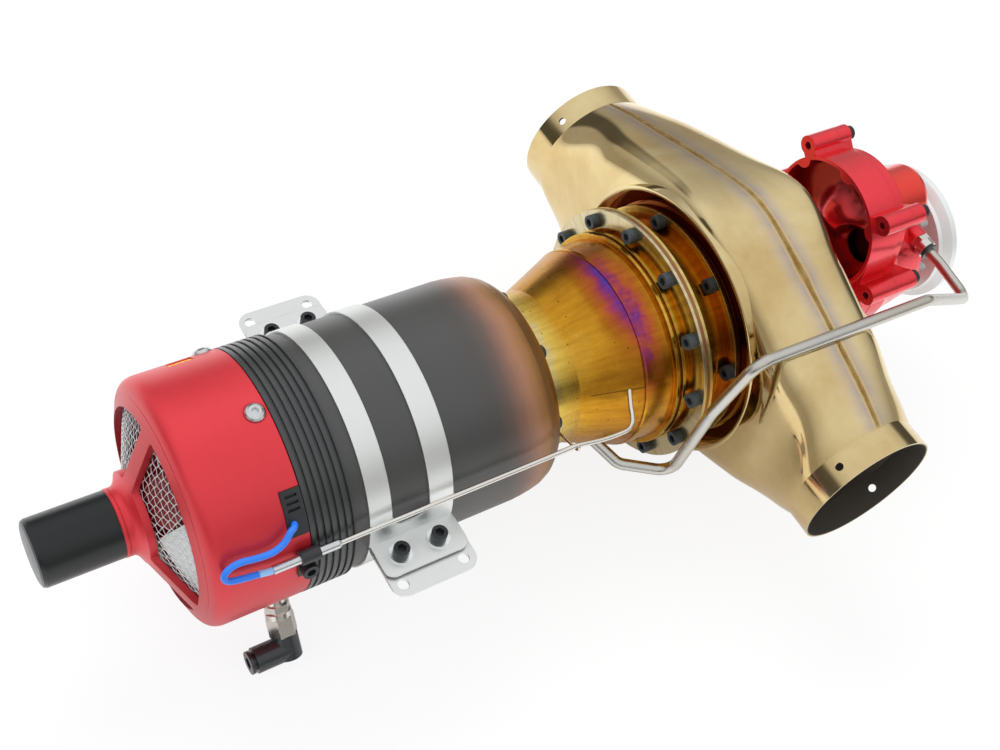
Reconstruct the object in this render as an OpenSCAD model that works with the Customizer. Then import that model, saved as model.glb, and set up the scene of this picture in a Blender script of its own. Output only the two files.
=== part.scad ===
// Twin-spool turboprop engine for a model aircraft: gas generator, free power
// turbine, forked exhaust duct and two-stage reduction gearbox on one shaft line.
// +X points to the propeller, +Z is up. The origin is on the shaft line, midway
// between the four holes of the mounting plate. Every size is in millimetres.

/* [Fits] */
// Radial clearance between turned pieces that locate one another
fit = 0.05; // [0.02:0.01:0.1]
// Radial clearance of a shaft or stem in a plain running bore
run_fit = 0.05; // [0.02:0.01:0.1]
// Gap between the tips of a turning wheel and the wall round it
tip_gap = 0.4; // [0.3:0.05:0.8]
// Radial clearance of a screw shank in its hole
hole_gap = 0.15; // [0.1:0.05:0.4]

/* [Starter] */
// Outside radius of the starter motor's can
can_r = 11.4; // [9:0.1:14]
// Length of the can in front of the intake hub
can_len = 26.6; // [20:0.2:34]
// How much smaller the neck that plugs into the hub is than the can
neck_step = 1.6; // [1.2:0.1:3]

/* [Intake housing] */
// Length of the housing from its hub to the skirt's rear edge
housing_len = 48.5; // [46:0.1:54]
// How far the skirt stands proud of the combustion case
housing_step = 1.2; // [0.8:0.1:3]
// Wall of the skirt
housing_wall = 2.6; // [2:0.1:4]
// How far the hub's front ring stands proud of the starter can
hub_step = 0.2; // [0.1:0.1:1.5]
// Distance from the hub's front ring to the three intake windows
window_step = 3.9; // [3:0.1:6]
// Distance from the skirt's outside to the three intake windows
window_rim = 8.6; // [7:0.1:12]
// Width of the three spokes between the windows
spoke_w = 7; // [5:0.1:10]
// Thickness of the hub cone and its spokes
spoke_t = 1.8; // [1.2:0.1:3]
// Wire of the intake mesh
mesh_wire = 0.5; // [0.4:0.05:0.8]

/* [Combustion case] */
// Front edge of the case
case_front = -20.9; // [-24:0.1:-18]
// Length of the case
case_len = 82.4; // [78:0.1:90]
// Length of the ribbed ring between the housing and the case
ring_len = 15.4; // [14:0.1:18]
// Outside radius of the case
case_r = 41.6; // [38:0.1:46]
// Sheet thickness of the case
case_wall = 0.8; // [0.6:0.1:1.2]

/* [Mounting straps] */
// Sheet thickness of the two straps
strap_t = 0.75; // [0.5:0.05:1.2]
// Thickness of the lower half's mounting plate
plate_t = 1.2; // [0.8:0.1:2]
// Gap between the two halves before the clamp screws close it
strap_gap = 1; // [0.6:0.1:2]
// Spacing of the mounting holes along the engine
hole_x = 22.7; // [20:0.1:26]
// Distance from the case's outside to the mounting holes beside it
hole_reach = 16.6; // [15:0.1:22]
// Radius of a mounting hole
hole_r = 2; // [1.6:0.1:2.6]

/* [Turbines] */
// How much smaller the cone's neck is than the case
neck_drop = 12.2; // [11.8:0.1:14]
// Length of the cone between the turbines, from the case's rear lip
cone_len = 36.1; // [32:0.1:44]
// Growth of the cone's radius from its neck to its rear end
cone_flare = 8.5; // [6:0.1:10]
// Sheet thickness of the cone and the turbine case
hot_wall = 0.8; // [0.6:0.1:1.2]
// Length of the turbine case from the cone to the twelve-screw flange
turbine_len = 17.8; // [16:0.1:22]
// Distance from the twelve-screw flange to the eight-screw collar flange
power_len = 16.8; // [15:0.1:22]
// How far the power turbine's case stands proud of the cone's rear end
power_step = 2.3; // [2:0.1:3]
// Width of the twelve-screw flange round the power turbine's case
flange_b_w = 8.6; // [8:0.1:12]
// Width of the eight-screw collar flange round the power turbine's case
flange_c_w = 5.8; // [5.5:0.1:8]

/* [Exhaust duct] */
// Half depth of the duct along the shaft line
duct_half = 25.8; // [25:0.1:30]
// Height of the duct's crown above the rim of the collar flange
duct_rise = 15.2; // [14:0.1:24]
// Height of the duct's middle above the shaft line
duct_z = 1.4; // [0:0.1:3]
// Distance from the middle to each outlet's mouth
outlet_y = 97.5; // [92:0.5:105]
// Outside radius of the outlets
outlet_r = 26.8; // [26:0.1:28]
// Length of the collar on each outlet
collar_len = 10.5; // [8:0.5:14]
// Sheet thickness of the duct
duct_wall = 1; // [0.8:0.1:1.4]

/* [Gearbox] */
// Height of the gear case's ring and the lay shaft above the shaft line
lay_z = 28; // [28:0.5:28]
// Gap between the duct and the gear case's ring
tunnel_gap = 19.65; // [16:0.05:26]
// Radius of the ring's opening
gear_open = 25; // [24:0.1:25.4]
// Wall of the ring
gear_wall = 1.4; // [1:0.1:2]
// Length of the gear case up to its joint with the output housing
gear_len = 14.15; // [14:0.05:16]
// Teeth of both pinions
pinion_teeth = 16; // [16:1:16]
// Teeth of both large gears
wheel_teeth = 40; // [40:1:40]
// Radius of the bearing cap's tube
cap_r = 12.4; // [12:0.1:13]
// Outside radius of the propeller flange
prop_r = 28.8; // [26:0.1:32]

/* [Lines and leads] */
// Radius of the oil tube
tube_r = 2.2; // [1.8:0.1:2.5]
// Radius of the probe's rod
rod_r = 0.9; // [0.7:0.1:1.2]
// Radius of the blue lead
lead_r = 1.1; // [0.8:0.05:1.2]

/* [Hidden] */
$fn = 96;
eps = 0.01;

// Stations along the shaft line, each from its neighbour
housing_rear = case_front - ring_len;
hub_front = housing_rear - housing_len;
case_rear = case_front + case_len;
cone_rear = case_rear + cone_len;
flange_b = cone_rear + turbine_len;
flange_c = flange_b + power_len;
duct_x = flange_c + 1.4 + duct_half;
gear_front = duct_x + duct_half + tunnel_gap;
gear_split = gear_front + gear_len;
// Radii, each from the piece that it fits
housing_r = case_r + housing_step;
hub_r = can_r + hub_step;
neck_r = can_r - neck_step;
window_in = hub_r + window_step;
window_out = housing_r - window_rim;
neck_out = case_r - neck_drop;
cone_end_r = neck_out + cone_flare;
power_r = cone_end_r + power_step;
flange_b_r = power_r + flange_b_w;
flange_c_r = power_r + flange_c_w;
duct_top = flange_c_r + duct_rise;
hole_y = 2 * (case_r + hole_reach);

// ---------------------------------------------------------------- shared helpers

// A turned piece: points are [station along X, radius].
module turned(pts)
    rotate([0, 90, 0]) rotate_extrude() polygon([for (p = pts) [p[1], p[0]]]);

// Part of a turned piece from angle a0 over span degrees; 0 is +Y and 90 is +Z.
module turned_arc(pts, a0, span)
    rotate([a0 + 90, 0, 0]) rotate([0, 90, 0])
        rotate_extrude(angle = span) polygon([for (p = pts) [p[1], p[0]]]);

// A flat outline in the Y-Z plane, thick from x0 to x1.
module plate_x(x0, x1)
    translate([x0, 0, 0]) rotate([90, 0, 90]) linear_extrude(x1 - x0) children();

// A round bar along X.
module bar_x(x0, x1, r)
    translate([x0, 0, 0]) rotate([0, 90, 0]) cylinder(h = x1 - x0, r = r);

// Children, drawn along +Z, pointed outward from the shaft line at station x.
module outward(x, a)
    translate([x, 0, 0]) rotate([a, 0, 0]) rotate([-90, 0, 0]) children();

// Children repeated n times round the shaft line at radius r.
module ring_of(n, r, phase)
    for (i = [0:n - 1]) rotate([phase + 360 * i / n, 0, 0]) translate([0, r, 0]) children();

// Children on the lay shaft's line.
module on_lay() translate([0, 0, lay_z]) children();

// A cap screw whose head sits on x = 0 and points to -X; the shank runs to +X.
module cap_screw(d, head_d, head_h, len) {
    difference() {
        bar_x(-head_h, 0, head_d / 2);
        translate([-head_h - eps, 0, 0]) rotate([0, 90, 0])
            cylinder(h = head_h * 0.55, r = head_d * 0.29, $fn = 6);
    }
    bar_x(-eps, len, d / 2);
}

// A round button head on z = 0 with a hexagon socket; the shank runs down.
module button_screw(d, head_d, head_h, len) {
    difference() {
        rotate_extrude() polygon([[0, 0], [head_d / 2, 0], [head_d / 2, head_h * 0.35],
            [head_d * 0.43, head_h * 0.72], [head_d * 0.3, head_h], [0, head_h]]);
        translate([0, 0, head_h * 0.45]) cylinder(h = head_h, r = head_d * 0.19, $fn = 6);
    }
    translate([0, 0, -len]) cylinder(h = len + eps, r = d / 2);
}

// Points of a bent bar: hand-picked corners p, each rounded to radius bend with k steps.
function unit(v) = v / norm(v);
function rounded(p, bend, k) = let (n = len(p) - 1) concat([p[0]], [for (i = [1:1:n - 1])
    let (d0 = unit(p[i] - p[i - 1]), d1 = unit(p[i + 1] - p[i]), t = acos(d0 * d1),
         w = unit(cross(d0, d1)), u = cross(d0, w), c = p[i] - d0 * bend * tan(t / 2) - u * bend)
    each [for (j = [0:k]) c + bend * (cos(t * j / k) * u + sin(t * j / k) * d0)]], [p[n]]);

// A round bar swept along a line of points; aside is a direction the line never takes.
module cord(line, r, sides, aside) {
    n = len(line);
    rings = [for (i = [0:n - 1])
        let (t = unit(i == 0 ? line[1] - line[0] : i == n - 1 ? line[i] - line[i - 1]
                : unit(line[i + 1] - line[i]) + unit(line[i] - line[i - 1])),
             u = unit(cross(t, aside)), v = cross(t, u))
        for (k = [0:sides - 1]) line[i] + r * (cos(360 * k / sides) * u
            + sin(360 * k / sides) * v)];
    polyhedron(points = rings, faces = concat([[for (k = [0:sides - 1]) k]],
        [for (i = [0:n - 2], k = [0:sides - 1]) each let (a = i * sides + k,
            b = i * sides + (k + 1) % sides) [[a, b + sides, b], [a, a + sides, b + sides]]],
        [[for (k = [sides - 1:-1:0]) (n - 1) * sides + k]]), convexity = 6);
}

// Children drawn along +Z, moved to start at a and point to b.
module along(a, b)
    let (w = unit(b - a), s = abs(w[2]) < 0.9 ? [0, 0, 1] : [0, 1, 0],
         u = unit(cross(s, w)), v = cross(w, u))
    multmatrix([[u[0], v[0], w[0], a[0]], [u[1], v[1], w[1], a[1]], [u[2], v[2], w[2], a[2]]])
        children();

// ---------------------------------------------------------------- gear teeth

gear_m = 2 * lay_z / (pinion_teeth + wheel_teeth);
pressure = 20;
backlash = 0.5;      // degrees taken off each flank of a pinion tooth at its pitch circle
function invol(a) = tan(a) * 180 / PI - a;
function half_tooth(n, r) = 90 / n - backlash * pinion_teeth / n + invol(pressure)
    - invol(acos(min(1, n * gear_m / 2 * cos(pressure) / r)));
function tooth(n) = let (rp = n * gear_m / 2, rb = rp * cos(pressure), rr = rp - 1.25 * gear_m,
        ra = rp + 0.95 * gear_m, rs = [rr, max(rb, rr + 0.05), rp - 0.3 * gear_m,
            rp + 0.35 * gear_m, ra])
    [for (r = rs) [r, half_tooth(n, max(r, rb))]];
module gear_outline(n, phase) {
    t = tooth(n);
    polygon([for (i = [0:n - 1]) each concat(
        [for (q = t) let (a = phase + 360 * i / n - q[1]) q[0] * [cos(a), sin(a)]],
        [for (k = [len(t) - 1:-1:0]) let (a = phase + 360 * i / n + t[k][1])
            t[k][0] * [cos(a), sin(a)]])]);
}

// ---------------------------------------------------------------- starter motor

can_front = hub_front - can_len;
starter_shaft_r = 2;
starter_nose = hub_front + 30;      // front of the clutch that grips the rotor's nut

module starter_can() color("#1b1c1f") {
    wall = 1;
    difference() {
        union() {
            turned([[can_front - 0.6, 0], [can_front - 0.45, can_r * 0.45],
                [can_front, can_r - 1.6], [can_front + 0.45, can_r - 0.5],
                [can_front + 1.5, can_r], [hub_front, can_r], [hub_front, neck_r],
                [hub_front + 8, neck_r], [hub_front + 8, 0]]);
        }
        bar_x(can_front + 1.4, hub_front - 1.2, can_r - wall);
        bar_x(hub_front - 2, hub_front + 9, starter_shaft_r + run_fit);
    }
    difference() {
        bar_x(can_front + 1, can_front + 4, 3.4);
        bar_x(can_front + 1.4, can_front + 5, starter_shaft_r + run_fit);
    }
}

module starter_rotor() color("#8c8f94") {
    bar_x(can_front + 1.9, starter_nose + 1, starter_shaft_r);
    difference() {
        bar_x(can_front + 5, hub_front - 5, can_r - 2.4);
        ring_of(7, can_r - 2.4, 0) bar_x(can_front + 4, hub_front - 4, 1.5);
    }
    turned([[starter_nose, 0], [starter_nose, 4], [starter_nose + 2, 6.2],
        [starter_nose + 8, 6.2], [starter_nose + 8, 4.6], [starter_nose + 5, 4.2],
        [starter_nose + 5, 0]]);
}

// ---------------------------------------------------------------- intake housing

cone_slope = 0.332;                 // rise along X for each millimetre of radius
cone_start = hub_front + 4.7;
function cone_x(r) = cone_start + (r - 13) * cone_slope;
housing_in = housing_r - housing_wall;
spoke_angles = [80.3, 200.3, 320.3];
button_x = housing_rear - 4.2;
button_angles = [96.4, 36.4, -23.6, -83.6];
button_seat = housing_r - 0.3;
clip_x = housing_rear - 2.2;
clip_angle = 170;
stem_x = housing_rear - 4.1;
stem_angle = -128;
stem_r = 2.5;
notch = [131, 21.4];                // start angle and span of the connector's notch
plug_angle = [40, 7.4];
plug_x = [housing_rear - 17.6, housing_rear - 9.2];
cover_front = housing_rear - 9.7;   // front end of the compressor cover's spigot

module intake_housing() color("#b3121c") difference() {
    turned([[hub_front, neck_r + fit], [hub_front, hub_r], [hub_front + 1.6, hub_r],
        [hub_front + 2.2, hub_r - 0.5], [hub_front + 3.2, hub_r + 0.5], [cone_x(13), 13],
        [cone_x(housing_r - 4.6), housing_r - 4.6], [cone_x(housing_r - 4.2) + 0.2,
        housing_r - 3.4], [cone_x(housing_r) + 1.2, housing_r - 1.1],
        [cone_x(housing_r) + 2.4, housing_r - 0.4], [cone_x(housing_r) + 4.6, housing_r],
        [housing_rear, housing_r], [housing_rear, housing_in],
        [cone_x(housing_r) + 6, housing_in], [cone_x(housing_r) + 3.4, housing_in - 1.4],
        [cone_x(housing_in - 3) + spoke_t, housing_in - 3],
        [cone_x(13.4) + spoke_t, 13.4], [hub_front + 8.5, 13.4],
        [hub_front + 8.5, neck_r + fit]]);
    difference() {
        turned([[hub_front, window_in], [hub_front, window_out],
            [hub_front + 30, window_out], [hub_front + 30, window_in]]);
        for (a = spoke_angles) rotate([a, 0, 0])
            translate([hub_front - 1, 0, -spoke_w / 2]) cube([housing_r, housing_r, spoke_w]);
    }
    turned_arc([[housing_rear - 6.9, housing_in - 1], [housing_rear - 6.9, housing_r + 1],
        [housing_rear + 1, housing_r + 1], [housing_rear + 1, housing_in - 1]],
        notch[0], notch[1]);
    turned_arc([[plug_x[0], housing_in - 1], [plug_x[0], housing_r + 1],
        [plug_x[1], housing_r + 1], [plug_x[1], housing_in - 1]],
        plug_angle[0], plug_angle[1]);
    for (a = button_angles) outward(button_x, a) seat_hole(1.5 + hole_gap, 3.6);
    outward(clip_x, clip_angle) translate([0, 0, housing_in - 3])
        cylinder(h = housing_wall + 5, r = 1.5 + hole_gap);
    outward(stem_x, stem_angle) seat_hole(stem_r + fit, 4.2);
}

// A hole through the skirt with a flat seat for a head.
module seat_hole(r, seat_r) rotate_extrude() polygon([[0, housing_in - 3], [r, housing_in - 3],
    [r, button_seat], [seat_r, button_seat], [seat_r, housing_r + 2], [0, housing_r + 2]]);

module intake_mesh() color("#c9ccd0") {
    rise = spoke_t + 0.05;
    inner = 14;
    outer = housing_in - 3.4;
    for (k = [0:6]) let (r = inner + k * (outer - inner - 0.6) / 6)
        turned([[cone_x(r) + rise, r], [cone_x(r + 0.6) + rise, r + 0.6],
            [cone_x(r + 0.6) + rise + mesh_wire, r + 0.6], [cone_x(r) + rise + mesh_wire, r]]);
    for (i = [0:35]) rotate([i * 10, 0, 0])
        translate([cone_x(inner + 0.3) + rise + 0.2, inner + 0.3, -mesh_wire / 2])
            rotate([0, 0, -atan(cone_slope)])
            cube([mesh_wire, (outer - inner - 0.6) / cos(atan(cone_slope)), mesh_wire]);
}

module housing_screws() color("#c8cace")
    for (a = button_angles) outward(button_x, a) translate([0, 0, button_seat])
        button_screw(3, 6.6, 1.8, 5);

module connector_block() color("#1d2024") difference() {
    turned_arc([[housing_rear - 6.8, housing_in + fit], [housing_rear - 6.8, housing_r + 0.3],
        [housing_rear - 0.1, housing_r + 0.3], [housing_rear - 0.1, housing_in + fit]],
        notch[0] + 0.15, notch[1] - 0.3);
    outward(lead_start[0], lead_start[1]) translate([0, 0, housing_r - 1.6])
        cylinder(h = 3, r = lead_r + fit);
    for (a = [134, 137, 140]) outward(housing_rear - 3.5, a)
        translate([-2, -0.5, housing_r - 0.7]) cube([4, 1, 2]);
}

module yellow_plug() color("#f2c81a") difference() {
    turned_arc([[plug_x[0] + 0.1, housing_in - 4], [plug_x[0] + 0.1, housing_r - 0.5],
        [plug_x[1] - 0.1, housing_r - 0.5], [plug_x[1] - 0.1, housing_in + fit],
        [cover_front - 0.1, housing_in + fit], [cover_front - 0.1, housing_in - 4]],
        plug_angle[0] + 0.15, plug_angle[1] - 0.3);
    for (k = [-1:1]) outward((plug_x[0] + plug_x[1]) / 2 + k * 2.3, plug_angle[0] + 3.7)
        translate([-0.7, -0.7, housing_r - 1.5]) cube([1.4, 1.4, 2]);
}

// ---------------------------------------------------------------- fuel system

pump_r = housing_in - 10.7;         // distance of pump and valves from the shaft line

pump_nose = cone_x(pump_r) + 4.62;  // the pump fills the room behind the gauze

module fuel_pump() color("#6d1a1c") rotate([178, 0, 0]) translate([0, pump_r, 0]) {
    bar_x(pump_nose + 4, cover_front - 1.4, 8);
    bar_x(cover_front - 1.4, cover_front, 9.6);
    bar_x(pump_nose, pump_nose + 4.1, 5);
    translate([pump_nose + 2, 0, 0]) rotate([90, 0, 0]) cylinder(h = 7, r = 1.6);
}

// The two valves stand 28 degrees apart; their plates are wide enough to meet.
valve_w = 2 * (pump_r - 5.5) * tan(14) + 0.13;

module fuel_valves() color("#c2c4c6") for (a = [112, 140]) rotate([a, 0, 0]) {
    translate([cover_front - 16, pump_r - 5.5, -5]) cube([14.6, 11, 10]);
    translate([cover_front - 1.41, pump_r - 5.5, -valve_w / 2]) cube([1.41, 15, valve_w]);
    translate([0, pump_r, 0]) bar_x(cover_front - 20, cover_front - 15.9, 2);
}

// ---------------------------------------------------------------- compressor

ring_front = housing_rear + 0.2;
ring_r = housing_r + 0.1;
spigot_r = housing_in - fit;
eye_r = 16.65;                      // radius of the compressor's blades at the eye
wheel_r = 26.5;
shroud = [[case_front - 23.1, eye_r + 6.4], [case_front - 21.9, eye_r + 2.8],
    [case_front - 19.6, eye_r + 0.95], [case_front - 16.1, eye_r + tip_gap],
    [case_front - 12.1, eye_r + tip_gap], [case_front - 8.1, eye_r + 0.95 + tip_gap],
    [case_front - 4.6, eye_r + 3 + tip_gap], [case_front - 1.8, eye_r + 6 + tip_gap],
    [case_front - 0.3, eye_r + 9 + tip_gap], [case_front + 0.2, wheel_r + 2]];

module front_ring() color("#202124") difference() {
    turned(concat([[cover_front, housing_in - 2.2], [cover_front, spigot_r],
        [ring_front, spigot_r], [ring_front, ring_r], [case_front, ring_r],
        [case_front, case_r - case_wall - fit], [case_front + 7, case_r - case_wall - fit],
        [case_front + 7, case_r - case_wall - 1.2], [case_front + 0.2, case_r - case_wall - 1.2]],
        [for (i = [len(shroud) - 1:-1:0]) shroud[i]],
        [[case_front - 22.6, eye_r + 7.8], [case_front - 20.8, eye_r + 5],
        [case_front - 18.4, eye_r + 3], [case_front - 15.8, eye_r + 2.3],
        [case_front - 12.4, eye_r + 2.3], [case_front - 9.2, eye_r + 3.3],
        [case_front - 6.4, eye_r + 5.8], [case_front - 4, eye_r + 9.8],
        [case_front - 2.9, wheel_r + 2.4], [case_front - 2.9, housing_in - 2.2]]));
    for (i = [0:5]) let (x = ring_front + 1.5 + i * 2.45)
        turned([[x, ring_r - 0.9], [x, ring_r + 1], [x + 1, ring_r + 1], [x + 1, ring_r - 0.9]]);
    for (a = button_angles) outward(button_x, a) cylinder(h = ring_r, r = 1.5 + fit);
    outward(clip_x, clip_angle) cylinder(h = ring_r, r = 1.5 + fit);
    outward(stem_x, stem_angle) cylinder(h = ring_r, r = stem_r + fit);
}

module compressor_wheel() color("#b9bcc0") {
    blade_t = 0.7;
    back = case_front + 4;
    difference() {
        union() {
            turned([[case_front - 14, 0], [case_front - 14, 5.2], [case_front - 10, 6],
                [case_front - 5, 8.4], [case_front - 1.6, 12], [back - 2.6, 18],
                [back - 1.3, wheel_r], [back, wheel_r], [back, 10], [back + 1.2, 8],
                [back + 1.2, 0]]);
            intersection() {
                turned([[case_front - 13.6, 0], [case_front - 13.6, eye_r],
                    [case_front - 12.1, eye_r], [case_front - 8.1, eye_r + 0.95],
                    [case_front - 4.6, eye_r + 3], [case_front - 1.7, eye_r + 6.1],
                    [case_front + 0.1, wheel_r], [back - 0.2, wheel_r], [back - 0.2, 0]]);
                for (i = [0:13]) rotate([i * 360 / 14, 0, 0])
                    translate([case_front - 20, 0, -blade_t / 2]) cube([30, 30, blade_t]);
            }
        }
        bar_x(case_front - 20, back + 5, shaft_r);
    }
}

module diffuser() color("#a9acb0") {
    face = case_front + 4.5;
    rim = case_r - case_wall - 1.2 - fit;
    turned([[face, 12], [face, rim - 4.5], [face + 2, rim - 4.5], [face + 2, 12]]);
    for (i = [0:14]) rotate([i * 24, 0, 0]) translate([case_front + 0.3, wheel_r + 3, 0])
        rotate([-55, 0, 0]) translate([0, 0, -0.4]) cube([face - case_front - 0.2, 7.5, 0.8]);
    difference() {
        turned([[face, rim - 1], [face, rim], [face + 6, rim], [face + 6, rim - 1]]);
    }
    for (i = [0:29]) rotate([i * 12, 0, 0]) translate([face, rim - 4.8, -0.35])
        cube([5.5, 4.1, 0.7]);
    turned([[face + 1, rim - 5], [face + 1, rim - 4], [face + 6, rim - 4],
        [face + 6, rim - 5]]);
}

// ---------------------------------------------------------------- gas generator rotor

shaft_r = 4;
bearing_w = 7;
bearing_r = 11;
front_seat = case_front + 8.9;
rear_seat = case_rear - 20.5;
wheel_front = case_rear;            // front of the gas generator's turbine wheel

module bearing_tunnel() color("#8f9296") difference() {
    turned([[case_front + 6.55, 12], [case_front + 6.55, 11.9], [case_front + 6.6, 11.9],
        [case_front + 6.6, 14.9], [case_front + 8.6, 14.9], [case_front + 8.6, 13.4],
        [rear_seat + bearing_w + 1, 13.4], [rear_seat + bearing_w + 1, 9],
        [rear_seat + bearing_w, 9], [rear_seat + bearing_w, bearing_r + fit],
        [rear_seat, bearing_r + fit], [rear_seat, 9.4], [front_seat + bearing_w, 9.4],
        [front_seat + bearing_w, bearing_r + fit], [case_front + 6.55, bearing_r + fit]]);
    for (a = [0:90:270]) rotate([a, 0, 0]) translate([front_seat + 24, 0, 0])
        cylinder(h = 20, r = 2);
}

module bearing(x, w, ro, ri) {
    turned([[x, ri + (ro - ri) * 0.66], [x, ro], [x + w, ro], [x + w, ri + (ro - ri) * 0.66]]);
    turned([[x, ri], [x, ri + (ro - ri) * 0.34], [x + w, ri + (ro - ri) * 0.34], [x + w, ri]]);
    turned([[x + 0.4, ri + (ro - ri) * 0.33], [x + 0.4, ri + (ro - ri) * 0.67],
        [x + w - 0.4, ri + (ro - ri) * 0.67], [x + w - 0.4, ri + (ro - ri) * 0.33]]);
}

module rotor_bearings() color("#d8dadd") {
    bearing(front_seat, bearing_w, bearing_r, shaft_r + run_fit);
    bearing(rear_seat, bearing_w, bearing_r, shaft_r + run_fit);
}

module rotor_shaft() color("#9b9ea3") {
    turned([[case_front - 21, 0], [case_front - 20, 3.4], [case_front - 17, 4.6],
        [case_front - 14, 4.6], [case_front - 14, shaft_r], [front_seat + bearing_w + 2,
        shaft_r], [front_seat + bearing_w + 4, 6.5], [rear_seat - 4, 6.5],
        [rear_seat - 2, shaft_r], [wheel_front + 8, shaft_r], [wheel_front + 8, 6],
        [wheel_front + 11, 6], [wheel_front + 12, 4.4], [wheel_front + 12, 0]]);
}

module combustor() color("#8a7f6c") difference() {
    t = 0.6;
    x0 = case_front + 18.9;
    x1 = case_rear - 12.1;
    r = case_r - case_wall - 5.8;
    turned([[x1, cone_in - 0.4], [x1, cone_in - 0.4 + t], [x1 - 7, r], [x0 + 3, r],
        [x0, r - 4], [x0, 20],
        [x0 + 3, 15.6], [x1 - 8, 15.6], [x1, 19.6 - t], [x1, 19.6], [x1 - 8, 15.6 + t],
        [x0 + 3 + t, 15.6 + t], [x0 + t, 20 + t], [x0 + t, r - 4 - t], [x0 + 3 + t, r - t],
        [x1 - 7, r - t]]);
    for (row = [0:2]) for (i = [0:11]) rotate([i * 30 + row * 15, 0, 0])
        translate([x0 + 10 + row * 11, 0, r - 10]) cylinder(h = 12, r = 1.4 + row * 0.5);
    for (i = [0:5]) rotate([i * 60, 0, 0]) translate([x0 - 1, (16 + r) / 2, 0])
        rotate([0, 90, 0]) cylinder(h = 3, r = 2.4);
}

cone_in = neck_out - hot_wall;
screw_ring = neck_out + 3.6;

module nozzle_vanes() color("#9c8458") {
    x0 = case_rear - 11.6;
    difference() {
        union() {
            turned([[x0, cone_in - 1], [x0, cone_in], [case_rear - 3.1, cone_in],
                [case_rear - 3.1, screw_ring + 3], [case_rear - 1.8, screw_ring + 3],
                [case_rear - 1.8, neck_out + 0.2], [case_rear - 0.75, neck_out + 0.2],
                [case_rear - 0.75, cone_in - 1]]);
            turned([[x0, 8.6], [x0, 20], [case_rear - 1.2, 20], [case_rear - 1.2, 19],
                [x0 + 1.6, 19], [x0 + 1.6, 8.6]]);
            for (i = [0:14]) rotate([i * 24, 0, 0]) translate([x0 + 1, 19.5, 0])
                rotate([0, 35, 0]) translate([0, 0, -0.6]) cube([10.5, cone_in - 20, 1.2]);
        }
        ring_of(8, screw_ring, 67.5) bar_x(case_rear - 4, case_rear, 1.5 + hole_gap);
    }
}

module turbine_wheel() color("#877f78") difference() {
    union() {
        turned([[wheel_front, 0], [wheel_front, 8], [wheel_front + 1.4, 19],
            [wheel_front + 6.6, 19], [wheel_front + 8, 9], [wheel_front + 8, 0]]);
        intersection() {
            turned([[wheel_front + 0.6, 10], [wheel_front + 0.6, cone_in - tip_gap],
                [wheel_front + 7.4, cone_in - tip_gap], [wheel_front + 7.4, 10]]);
            for (i = [0:22]) rotate([i * 360 / 23, 0, 0]) translate([wheel_front + 4, 15, 0])
                rotate([0, -38, 0]) translate([-8, 0, -0.5]) cube([16, 20, 1]);
        }
    }
    bar_x(wheel_front - 1, wheel_front + 9, shaft_r);
}

// ---------------------------------------------------------------- combustion case

flange_screw_phase = 67.5;

module engine_case() color("#2a2725") difference() {
    turned([[case_front, case_r - case_wall], [case_front, case_r], [case_rear - 15.5, case_r],
        [case_rear - 12.5, case_r - 0.2], [case_rear - 8.5, case_r - 0.7],
        [case_rear - 5.5, case_r - 1.3], [case_rear - 2.5, case_r - 2.6],
        [case_rear - 0.7, case_r - 4.1], [case_rear, case_r - 4.8], [case_rear, case_r - 5.4],
        [case_rear - 0.7, case_r - 5.4], [case_rear - 0.7, neck_out + 0.3],
        [case_rear - 1.75, neck_out + 0.3], [case_rear - 1.75, case_r - 4.8],
        [case_rear - 3, case_r - 3.6], [case_rear - 6, case_r - 2.2],
        [case_rear - 9, case_r - 1.5], [case_rear - 13, case_r - case_wall - 0.2],
        [case_rear - 16, case_r - case_wall]]);
    ring_of(8, screw_ring, flange_screw_phase) bar_x(case_rear - 4, case_rear + 1,
        1.5 + hole_gap);
}

// ---------------------------------------------------------------- mounting straps

strap_in = case_r + fit;
strap_out = strap_in + strap_t;
strap_x = [-15.6, 15.2];            // front edge of the first strap, rear edge of the second
strap_w = [8, 8.9];                 // width of the first and the second strap
clamp_x = [-7.5, 6.7];              // stations of the clamp screws
clamp_y = case_r + 7.1;
flange_y = case_r + 13.9;           // outer edge of the upper half's flange
plate_y = hole_y / 2 + 4.3;         // outer edge of the lower half's mounting plate

// The opening between the two straps, cut straight through from side to side.
module strap_window(base, corner) {
    x0 = strap_x[0] + strap_w[0];
    x1 = strap_x[1] - strap_w[1];
    translate([0, 2 * case_r, 0]) rotate([90, 0, 0]) linear_extrude(4 * case_r) union() {
        translate([x0 + corner, base + corner]) circle(r = corner);
        translate([x1 - corner, base + corner]) circle(r = corner);
        translate([x0 + corner, base]) square([x1 - x0 - 2 * corner, 2 * case_r]);
        translate([x0, base + corner]) square([x1 - x0, 2 * case_r]);
    }
}

// One half: both straps, the bridges that join them, and a flat tab on each side.
module strap_half(edge, tab_y, tab_z, tab_t, corner, x_end) {
    difference() {
        turned_arc([[strap_x[0], strap_in], [strap_x[0], strap_out], [strap_x[1], strap_out],
            [strap_x[1], strap_in]], edge, 180 - 2 * edge);
        strap_window(7.5, 5);
    }
    for (s = [-1, 1]) difference() {
        translate([0, 0, tab_z]) linear_extrude(tab_t) union() {
            x0 = strap_x[0] + 0.2;
            translate([x0, s > 0 ? strap_in + 0.15 : -tab_y + corner])
                square([x_end - x0, tab_y - corner - strap_in - 0.15]);
            translate([x0 + corner, s > 0 ? tab_y - corner - 0.1 : -tab_y])
                square([x_end - x0 - 2 * corner, corner + 0.1]);
            for (x = [x0 + corner, x_end - corner])
                translate([x, s * (tab_y - corner)]) circle(r = corner);
        }
        for (x = clamp_x) translate([x, s * clamp_y, tab_z - 1])
            cylinder(h = tab_t + 2, r = 1.5 + hole_gap);
    }
}

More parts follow.
